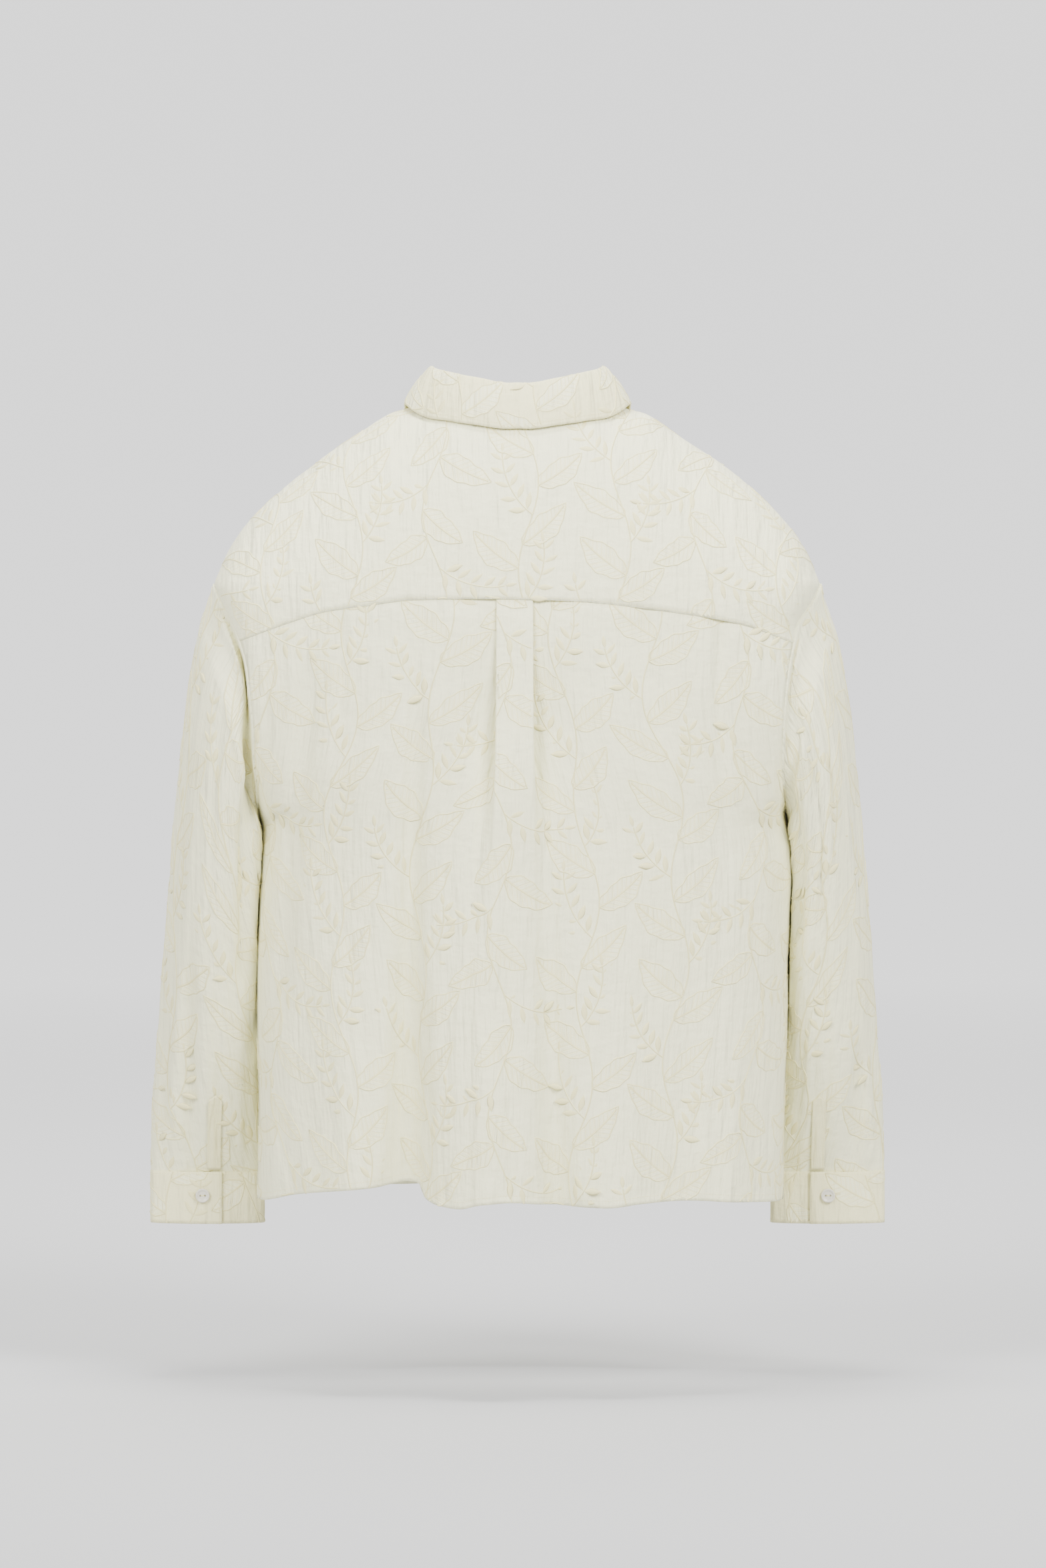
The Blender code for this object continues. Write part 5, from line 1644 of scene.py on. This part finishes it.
def lines_mesh(name, lines):
    """A mesh of bare edges through each line's points. A line may close on itself."""
    points = []
    edges = []
    for line, closed in lines:
        base = len(points)
        points.extend(line)
        edges.extend((base + k, base + k + 1) for k in range(len(line) - 1))
        if closed:
            edges.append((base + len(line) - 1, base))
    mesh = bpy.data.meshes.new(name)
    mesh.from_pydata([tuple(point) for point in points], edges, [])
    return mesh


def laid_lines(panel, flat_lines, lift, shift=(0.0, 0.0)):
    """Lays lines of the flat cloth on a panel, cut where they leave it."""
    laid = []
    for line in flat_lines:
        run = []
        for u, v in line:
            hit = panel.lay(u + shift[0], v + shift[1], lift)
            if hit is None:
                if len(run) > 2:
                    laid.append((run, False))
                run = []
            else:
                run.append(hit[0])
        if len(run) > 2:
            laid.append((run, False))
    return laid


def blade_outline(x, y, turn, length, width, bend, steps=18):
    """Both sides and the midrib of one embroidered leaf, in metres."""
    along_x, along_y = math.cos(turn), math.sin(turn)
    left = []
    right = []
    middle = []
    for k in range(steps + 1):
        t = k / steps
        half = 1.54 * width * t ** 0.70 * (1 - t) ** 0.95
        half *= 1 + 0.07 * math.sin(11 * t + 40 * x) + 0.06 * math.sin(24 * t + 90 * y)
        bow = bend * length * t * (1 - t)
        for line, side in ((left, bow + half), (middle, bow), (right, bow - half)):
            run = length * t
            line.append((x + along_x * run - along_y * side, y + along_y * run + along_x * side))
    return left, right, middle


def stem_x(stem, y):
    return stem.x + stem.swing * math.sin(2 * math.pi * y / REPEAT_HEIGHT + stem.phase)


def sprig_drawing(x, y, way, length, bend, pairs, chance):
    """A bending twig, and the feet and ways of its leaflets, in millimetres."""
    line = [(x, y)]
    leaflets = []
    steps = 4 * pairs
    for k in range(1, steps + 1):
        x += length / steps * math.cos(way)
        y += length / steps * math.sin(way)
        way += bend / steps
        line.append((x, y))
        if k % 4 == 2:
            size = 1.10 - 0.30 * k / steps
            leaflets.extend((x, y, way + side * chance.uniform(0.75, 1.1), size) for side in (-1, 1))
    leaflets.append((x, y, way, 0.75))
    return line, leaflets


def repeat_drawing():
    """The leaves, sprigs and stems of one repeat, in metres."""
    chance = np.random.default_rng(17)
    blades = []
    lines = []
    leaflets = []
    mm = 0.001
    step = REPEAT_HEIGHT / PLANTS_PER_STEM
    for number, stem in enumerate(STEMS):
        lines.append([(stem_x(stem, y) * mm, y * mm) for y in np.linspace(0, REPEAT_HEIGHT, 46)])
        for k in range(PLANTS_PER_STEM):
            y = (k + 0.5 + 0.16 * chance.uniform(-1, 1)) * step
            x = stem_x(stem, y)
            side = 1 if (k + number) % 2 else -1
            lean = side * math.radians(chance.uniform(42, 64))
            way = -0.5 * math.pi + lean if stem.up else 0.5 * math.pi - lean
            if (k + number) % 3 == 2:
                line, found = sprig_drawing(x, y, way, chance.uniform(56, 66), -0.9 * side, 5, chance)
                lines.append([(px * mm, py * mm) for px, py in line])
                leaflets.extend((px * mm, py * mm, turn, size) for px, py, turn, size in found)
            else:
                length = chance.uniform(47, 60) * mm
                width = chance.uniform(20, 26) * mm
                blades.append(blade_outline(x * mm, y * mm, way, length, width, 0.22 * side))
    return blades, lines, leaflets


def leaflet_shape():
    """One padded satin leaflet, pointing along +X from its foot, 15 mm long."""
    found = bpy.data.objects.get("leaflet_shape")
    if found:
        return found
    steps = 6
    verts = []
    for k in range(steps + 1):
        t = k / steps
        half = 0.0030 * math.sin(math.pi * t ** 0.9) ** 0.9
        x = 0.0010 + 0.0150 * t
        rise = 0.0002 + 0.00036 * math.sin(math.pi * t) ** 0.6
        verts.extend([(x, -half, -0.0003), (x, -half * 0.6, rise * 0.75), (x, 0.0, rise),
                      (x, half * 0.6, rise * 0.75), (x, half, -0.0003)])
    faces = []
    for k in range(steps):
        for j in range(4):
            a = 5 * k + j
            faces.append((a, a + 5, a + 6, a + 1))
        a = 5 * k
        faces.append((a + 4, a + 9, a + 5, a))
    mesh = bpy.data.meshes.new("leaflet_shape")
    mesh.from_pydata(verts, [], faces)
    builder = bmesh.new()
    builder.from_mesh(mesh)
    bmesh.ops.remove_doubles(builder, verts=builder.verts[:], dist=0.00001)
    bmesh.ops.recalc_face_normals(builder, faces=builder.faces[:])
    builder.to_mesh(mesh)
    builder.free()
    mesh.shade_smooth()
    item = new_object("leaflet_shape", mesh)
    item.hide_render = True
    return item


def repeat_places(panel, shift):
    """Where each repeat that may reach a panel starts on the flat cloth."""
    low, high = panel.reach()
    starts = []
    for axis, (size, margin) in enumerate(((REPEAT_WIDTH * 0.001, 0.2), (REPEAT_HEIGHT * 0.001, 0.15))):
        first = math.floor((low[axis] - shift[axis]) / size) - 1
        last = math.ceil((high[axis] - shift[axis]) / size) + 1
        places = [shift[axis] + number * size for number in range(first, last)]
        starts.append([
            place for place in places
            if low[axis] - margin < place + 0.5 * size < high[axis] + margin
        ])
    return [(u, v) for u in starts[0] for v in starts[1]]


def embroider(node, shift):
    """Works the repeat over one panel: outlines, midribs, filled leaves and leaflets."""
    panel = PANELS[node]
    wall = 0.5 * (sizes().double_shell if node in DOUBLED else sizes().shell)
    blades, lines, leaflets = repeat_drawing()
    drawn = [left + right[-2:0:-1] + [left[0]] for left, right, _ in blades]
    drawn += [middle[:-1] for _, _, middle in blades] + lines
    outlines = []
    patches = []
    points = []
    for move in repeat_places(panel, shift):
        outlines.extend(laid_lines(panel, drawn, wall, move))
        patches.extend(lay_patch(panel, blade, wall + 0.00018, move) for blade in blades)
        for x, y, way, size in leaflets:
            u, v = x + move[0], y + move[1]
            foot = panel.lay(u, v, wall)
            tip = panel.lay(u + LEAFLET_REACH * math.cos(way), v + LEAFLET_REACH * math.sin(way), wall)
            if foot is None or tip is None or foot[1].dot(tip[1]) < LEAFLET_TURN:
                continue
            points.append((foot[0], foot[1] + tip[1], tip[0] - foot[0], size))
    thread = material_of("embroidery_thread", embroidery_thread, 0.97)
    outline = new_object("leaf_outlines_" + node, lines_mesh("leaf_outlines", outlines))
    grown(outline, "outline_thread", thread_tree, Radius=sizes().outline_thread, Sides=4, Material=thread)
    filling = new_object("leaf_filling_" + node, patch_mesh(patches))
    filling.data.materials.append(material_of("leaf_filling", leaf_filling))
    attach(filling, "root")
    made = [outline, filling]
    if points:
        mesh = bpy.data.meshes.new("leaflets")
        mesh.from_pydata([tuple(point[0]) for point in points], [], [])
        for column, (name, kind, field) in enumerate(LEAFLET_ATTRIBUTES, 1):
            layer = mesh.attributes.new(name, kind, "POINT")
            layer.data.foreach_set(field, np.array([point[column] for point in points]).ravel())
        leaflet = new_object("satin_leaflets_" + node, mesh)
        grown(leaflet, "satin_leaflets", leaflet_tree, Leaflet=leaflet_shape(), Material=thread)
        made.append(leaflet)
    return made


def lay_patch(panel, blade, lift, move):
    """The filled inside of a leaf as rows of points on the panel, with their own places."""
    left, right, middle = blade
    rows = []
    foot = np.array(middle[0])
    for k in range(1, len(middle) - 1):
        row = []
        run = float(np.linalg.norm(np.array(middle[k]) - foot))
        for s in (-0.97, -0.65, -0.32, 0.0, 0.32, 0.65, 0.97):
            side = left[k] if s > 0 else right[k]
            u = middle[k][0] + (side[0] - middle[k][0]) * abs(s)
            v = middle[k][1] + (side[1] - middle[k][1]) * abs(s)
            hit = panel.lay(u + move[0], v + move[1], lift)
            across = s * math.dist(middle[k], side)
            row.append(None if hit is None else (hit[0], (run, across), (u + move[0], v + move[1])))
        rows.append(row)
    return rows


def patch_mesh(patches):
    mesh = bpy.data.meshes.new("leaf_filling")
    builder = bmesh.new()
    layer = builder.loops.layers.uv.new("leaf")
    under = builder.loops.layers.uv.new("flat")
    for rows in patches:
        verts = [[None if place is None else builder.verts.new(place[0]) for place in row] for row in rows]
        for i in range(len(rows) - 1):
            for j in range(len(rows[0]) - 1):
                corners = ((i, j), (i, j + 1), (i + 1, j + 1), (i + 1, j))
                if any(rows[r][c] is None for r, c in corners):
                    continue
                face = builder.faces.new([verts[r][c] for r, c in corners])
                for loop, (r, c) in zip(face.loops, corners):
                    loop[layer].uv = rows[r][c][1]
                    loop[under].uv = rows[r][c][2]
    loose = [vert for vert in builder.verts if not vert.link_faces]
    bmesh.ops.delete(builder, geom=loose, context="VERTS")
    builder.to_mesh(mesh)
    builder.free()
    mesh.shade_smooth()
    return mesh


DOUBLED = ("collar_leaf", "collar_stand", "cuff_left", "cuff_right")


def flat_edge(panel, side, inset):
    """A line at a set distance inside one edge of a single-grid panel."""
    flat = panel.flats[0]
    if side in ("start", "end"):
        flat = flat.transpose(1, 0, 2)
    if side in ("bottom", "end"):
        flat = flat[::-1]
    way = flat[4] - flat[0]
    way = way / np.maximum(np.linalg.norm(way, axis=1, keepdims=True), 1e-9)
    return [tuple(place) for place in flat[0] + way * inset]


def sew(name, panel, flat_lines, lift):
    """A seam's stitches along lines of the flat cloth."""
    thread = material_of("sewing_thread", embroidery_thread, 0.97)
    laid = laid_lines(panel, flat_lines, lift)
    if not laid:
        raise RuntimeError("no stitches on " + name)
    item = new_object(name, lines_mesh(name, laid))
    return grown(
        item, "seam_stitches", stitch_tree,
        Pitch=sizes().stitch_pitch, Radius=sizes().stitch_thread, Material=thread,
    )


def make_stitches():
    single = 0.5 * sizes().shell
    double = 0.5 * sizes().double_shell
    sew("hem_stitches_back", PANELS["back"], [flat_edge(PANELS["back"], "bottom", 0.0065)], single)
    for side in ("left", "right"):
        front = PANELS["front_" + side]
        edge = "start" if side == "left" else "end"
        lines = [flat_edge(front, "bottom", 0.0065), flat_edge(front, edge, 0.0300)]
        sew("stitches_front_" + side, front, lines, single)
        cuff = PANELS["cuff_" + side]
        lines = [flat_edge(cuff, name, 0.0022) for name in ("top", "bottom", "start", "end")]
        sew("stitches_cuff_" + side, cuff, lines, double)
        placket = PANELS["sleeve_placket_" + side]
        lines = [flat_edge(placket, name, 0.0012) for name in ("start", "end")]
        sew("stitches_placket_" + side, placket, lines, single)
    leaf = PANELS["collar_leaf"]
    lines = [flat_edge(leaf, name, 0.0050) for name in ("bottom", "start", "end")]
    sew("stitches_collar_leaf", leaf, lines, double)
    yoke = PANELS["yoke"]
    lines = [[(u, v - 0.0018) for u, v in flat[0]] for flat in yoke.flats]
    sew("stitches_yoke", yoke, lines, single)


def turned_mesh(name, profile, steps):
    """The surface that a profile of radii and heights sweeps round the Z axis."""
    builder = bmesh.new()
    rings = []
    for radius, up in profile:
        turns = [2 * math.pi * k / steps for k in range(steps if radius > 1e-9 else 1)]
        rings.append([builder.verts.new((radius * math.cos(t), radius * math.sin(t), up)) for t in turns])
    for upper, lower in zip(rings, rings[1:]):
        for k in range(steps):
            corners = [upper[k % len(upper)], lower[k % len(lower)]]
            corners += [ring[(k + 1) % len(ring)] for ring in (lower, upper)]
            builder.faces.new(list(dict.fromkeys(corners)))
    bmesh.ops.recalc_face_normals(builder, faces=builder.faces[:])
    mesh = bpy.data.meshes.new(name)
    builder.to_mesh(mesh)
    builder.free()
    return mesh


def button_mesh(diameter):
    """A two-hole button with a raised rim and a dished middle, face towards +Z."""
    profile = [(0.5 * diameter * out, up * BUTTON_THICKNESS) for out, up in BUTTON_PROFILE]
    mesh = turned_mesh("button", profile, 40)
    item = new_object("button_form", mesh)
    cutters = []
    for side in (-1, 1):
        hole = bpy.data.meshes.new("hole")
        drill = bmesh.new()
        bmesh.ops.create_cone(
            drill, cap_ends=True, segments=14, depth=0.01, radius1=BUTTON_HOLE, radius2=BUTTON_HOLE,
        )
        bmesh.ops.translate(drill, verts=drill.verts[:], vec=(side * BUTTON_HOLE_PLACE, 0.0, 0.0))
        drill.to_mesh(hole)
        drill.free()
        cutter = new_object("button_hole", hole)
        cutters.append(cutter)
        cut = item.modifiers.new("hole", "BOOLEAN")
        cut.operation = "DIFFERENCE"
        cut.solver = "EXACT"
        cut.object = cutter
    made = settle(item)
    for used in (item, *cutters):
        bpy.data.objects.remove(used)
    made.shade_smooth()
    made.set_sharp_from_angle(angle=math.radians(40))
    return made


def thread_bar():
    """Three strands side by side, which hold a button through its holes."""
    turns = np.linspace(0.0, math.pi, 7)
    ball = turned_mesh("strand", [(math.sin(turn), math.cos(turn)) for turn in turns], 8)
    builder = bmesh.new()
    for side in (-1, 0, 1):
        builder.from_mesh(ball)
        builder.verts.ensure_lookup_table()
        strand = builder.verts[-len(ball.vertices):]
        bmesh.ops.scale(builder, verts=strand, vec=BUTTON_THREAD)
        place = (0.0, side * BUTTON_THREAD_PITCH, 0.58 * BUTTON_THICKNESS)
        bmesh.ops.translate(builder, verts=strand, vec=place)
    mesh = bpy.data.meshes.new("thread_bar")
    builder.to_mesh(mesh)
    builder.free()
    mesh.shade_smooth()
    return mesh


def placed_copy(mesh, centre, across, out):
    """A copy of a mesh with its place in its points."""
    z_axis = Vector(out).normalized()
    x_axis = Vector(across)
    x_axis = (x_axis - z_axis * x_axis.dot(z_axis)).normalized()
    y_axis = z_axis.cross(x_axis)
    copy = mesh.copy()
    for vert in copy.vertices:
        x, y, z = vert.co
        vert.co = Vector(centre) + x_axis * x + y_axis * y + z_axis * z
    return copy


def button_spot(node):
    """Middle of a button's under face, and the way out."""
    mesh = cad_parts[node].data
    points = np.array([tuple(vert.co) for vert in mesh.vertices])
    middle = points.mean(axis=0)
    spread = points - middle
    _, _, ways = np.linalg.svd(spread, full_matrices=False)
    out = ways[2]
    back = not node[-1].isdigit() and "cuff" in node
    if (out[1] > 0) != back:
        out = -out
    return middle - out * 0.5 * BUTTON_THICKNESS, out


def make_buttons():
    shell = material_of("button_shell", button_shell)
    thread = material_of("sewing_thread", embroidery_thread, 0.97)
    small = button_mesh(sizes().button)
    large = button_mesh(sizes().cuff_button)
    bar = thread_bar()
    for name in BUTTONS:
        centre, out = button_spot(name)
        upright = name[-1].isdigit()
        across = (0.0, 0.0, 1.0) if upright else (1.0, 0.0, 0.0)
        form = large if "cuff" in name else small
        button = new_object(name + "_shell", placed_copy(form, centre, across, out))
        button.data.materials.clear()
        button.data.materials.append(shell)
        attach(button, "root")
        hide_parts(name)
        sewn = new_object(name + "_thread", placed_copy(bar, centre, across, out))
        sewn.data.materials.append(thread)
        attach(sewn, "root")


def slit(name, panel, u, v, length, upright, lift):
    """A worked buttonhole: close stitches along both sides of a slit."""
    lines = []
    for side in (-1, 1):
        line = []
        for k in range(15):
            t = (k / 14 - 0.5) * length
            across = side * 0.5 * BUTTONHOLE_WIDTH
            line.append((u + (across if upright else t), v + (t if upright else across)))
        lines.append(line)
    thread = material_of("embroidery_thread", embroidery_thread)
    laid = laid_lines(panel, lines, lift)
    if not laid:
        raise RuntimeError("no room for " + name)
    item = new_object(name, lines_mesh(name, laid))
    return grown(item, "outline_thread", thread_tree, Radius=BUTTONHOLE_THREAD, Sides=6, Material=thread)


def flat_of(panel, point):
    """The place on the flat cloth that lies nearest to a point of space."""
    gaps = np.linalg.norm(panel.places - np.array(point), axis=1)
    return panel.corners[int(np.argmin(gaps))]


def make_buttonholes():
    for side in ("left", "right"):
        centre, _ = button_spot("button_cuff_" + side)
        sign = 1.0 if side == "left" else -1.0
        panel = PANELS["cuff_" + side]
        u, v = flat_of(panel, (centre[0] + sign * CUFF_BUTTONHOLE_PLACE, centre[1], centre[2]))
        slit("buttonhole_cuff_" + side, panel, u, v, CUFF_BUTTONHOLE, False, 0.5 * sizes().double_shell)
    front = PANELS["front_left"]
    for number in range(6):
        centre, _ = button_spot("button_%d" % (number + 1))
        u, v = flat_of(front, centre)
        slit("buttonhole_%d" % (number + 1), front, u, v, BUTTONHOLE, True, 0.5 * sizes().shell)


def paper_finish():
    """Pale paper that glows where it runs on beyond the lamps."""
    finish = Finish("studio_paper", 0.95)
    place = finish.place()
    paper = rgba(colours().backdrop)
    _, depth, _ = finish.split(place)
    beyond = finish.math("MULTIPLY_ADD", depth, -0.22, -0.06)
    share = finish.math("MINIMUM", finish.math("MAXIMUM", beyond, 0.0), 1.0)
    finish.set(
        Base_Color=finish.blend(finish.noise(place, (3.0, 3.0, 3.0)), paper, rgba(paper[:3], 0.985)),
        Emission_Color=finish.blend(share, rgba((0.0, 0.0, 0.0)), rgba(colours().glow)),
        Emission_Strength=1.0, Specular_IOR_Level=0.0,
    )
    return finish.material


def make_paper():
    """A wide bowl of paper under and round the shirt."""
    profile = [(PAPER_FLAT * k / 20, FLOOR_Z) for k in range(21)]
    for k in range(1, 25):
        turn = PAPER_BEND_TURN * k / 24
        up = PAPER_BEND * (1 - math.cos(turn))
        profile.append((PAPER_FLAT + PAPER_BEND * math.sin(turn), FLOOR_Z + up))
    mesh = turned_mesh("studio_paper", profile, 96)
    mesh.shade_smooth()
    mesh.materials.append(paper_finish())
    new_object("studio_paper", mesh)


def look(item, place, aim):
    """Puts a lamp or the camera in its place, turned to what it looks at."""
    bpy.context.scene.collection.objects.link(item)
    item.location = place
    item.rotation_euler = (Vector(aim) - Vector(place)).to_track_quat("-Z", "Y").to_euler()


def make_lamps():
    for lamp in LAMPS:
        data = bpy.data.lights.new(lamp.name, "AREA")
        data.shape = "RECTANGLE"
        data.size = lamp.width
        data.size_y = lamp.height
        data.energy = lamp.power
        data.spread = math.radians(lamp.spread)
        look(bpy.data.objects.new(lamp.name, data), lamp.place, lamp.aim)
    world = bpy.data.worlds.new("studio")
    world.use_nodes = True
    sky = world.node_tree.nodes["Background"].inputs
    sky["Color"].default_value = (1.0, 1.0, 1.0, 1.0)
    sky["Strength"].default_value = SKY
    bpy.context.scene.world = world


def make_camera():
    """The camera stands behind the wearer."""
    data = bpy.data.cameras.new("camera")
    data.sensor_fit = "VERTICAL"
    data.sensor_height = 36.0
    data.lens = data.sensor_height * CAMERA_DISTANCE / VIEW_HEIGHT
    camera = bpy.data.objects.new("camera", data)
    away = Vector((0.0, math.cos(CAMERA_RISE), math.sin(CAMERA_RISE)))
    look(camera, CAMERA_AIM + away * CAMERA_DISTANCE, CAMERA_AIM)
    bpy.context.scene.camera = camera


class SHIRT_OT_body(bpy.types.Operator):
    """Make the back, the yoke and the two fronts"""
    bl_idname = "shirt.body"
    bl_label = "Body"

    def execute(self, context):
        make_back(body_cloth())
        make_yoke(body_cloth())
        make_front(True, body_cloth())
        make_front(False, body_cloth())
        return {"FINISHED"}


class SHIRT_OT_collar(bpy.types.Operator):
    """Make the collar's stand and leaf"""
    bl_idname = "shirt.collar"
    bl_label = "Collar"

    def execute(self, context):
        make_collar(trim_cloth())
        return {"FINISHED"}


class SHIRT_OT_sleeves(bpy.types.Operator):
    """Make the sleeves, their cuffs and the plackets"""
    bl_idname = "shirt.sleeves"
    bl_label = "Sleeves"

    def execute(self, context):
        for left in (True, False):
            make_sleeve(left, body_cloth())
            make_cuff(left, trim_cloth())
            make_placket(left, trim_cloth())
        return {"FINISHED"}


class SHIRT_OT_embroidery(bpy.types.Operator):
    """Embroider leaves over every panel"""
    bl_idname = "shirt.embroidery"
    bl_label = "Embroidery"

    def execute(self, context):
        embroider("back", (-0.11, 0.16))
        embroider("yoke", (-0.05, -0.06))
        embroider("front_left", (0.03, 0.02))
        embroider("front_right", (-0.14, 0.09))
        embroider("sleeve_left", (-0.08, 0.10))
        embroider("sleeve_right", (0.06, 0.04))
        embroider("collar_leaf", (0.02, 0.05))
        embroider("cuff_left", (0.05, 0.61))
        embroider("cuff_right", (-0.03, 0.66))
        bpy.data.objects.remove(leaflet_shape())
        return {"FINISHED"}


class SHIRT_OT_stitches(bpy.types.Operator):
    """Sew the hems, the cuffs, the collar and the yoke's seam"""
    bl_idname = "shirt.stitches"
    bl_label = "Stitches"

    def execute(self, context):
        make_stitches()
        return {"FINISHED"}


class SHIRT_OT_buttons(bpy.types.Operator):
    """Make the buttons, their threads and their buttonholes"""
    bl_idname = "shirt.buttons"
    bl_label = "Buttons"

    def execute(self, context):
        make_buttons()
        make_buttonholes()
        return {"FINISHED"}


class SHIRT_OT_stage(bpy.types.Operator):
    """Set the paper, the lamps and the camera"""
    bl_idname = "shirt.stage"
    bl_label = "Studio"

    def execute(self, context):
        make_paper()
        make_lamps()
        make_camera()
        return {"FINISHED"}


STEPS = (
    SHIRT_OT_body,
    SHIRT_OT_collar,
    SHIRT_OT_sleeves,
    SHIRT_OT_embroidery,
    SHIRT_OT_stitches,
    SHIRT_OT_buttons,
    SHIRT_OT_stage,
)


class SHIRT_PT_panel(bpy.types.Panel):
    bl_label = "Embroidered Shirt"
    bl_idname = "SHIRT_PT_panel"
    bl_space_type = "VIEW_3D"
    bl_region_type = "UI"
    bl_category = "Shirt"

    def draw(self, context):
        for group in (context.scene.shirt_sizes, context.scene.shirt_colours):
            for name in group.bl_rna.properties.keys():
                if name not in ("rna_type", "name"):
                    self.layout.prop(group, name)
        for step in STEPS:
            self.layout.operator(step.bl_idname)


CLASSES = (ShirtSizes, ShirtColours, *STEPS, SHIRT_PT_panel)


def register():
    for item in CLASSES:
        bpy.utils.register_class(item)
    bpy.types.Scene.shirt_sizes = bpy.props.PointerProperty(type=ShirtSizes)
    bpy.types.Scene.shirt_colours = bpy.props.PointerProperty(type=ShirtColours)


def unregister():
    del bpy.types.Scene.shirt_colours
    del bpy.types.Scene.shirt_sizes
    for item in reversed(CLASSES):
        bpy.utils.unregister_class(item)


def main():
    register()
    bpy.ops.shirt.body()
    bpy.ops.shirt.collar()
    bpy.ops.shirt.sleeves()
    bpy.ops.shirt.embroidery()
    bpy.ops.shirt.stitches()
    bpy.ops.shirt.buttons()
    bpy.ops.shirt.stage()


if __name__ == "__main__":
    main()
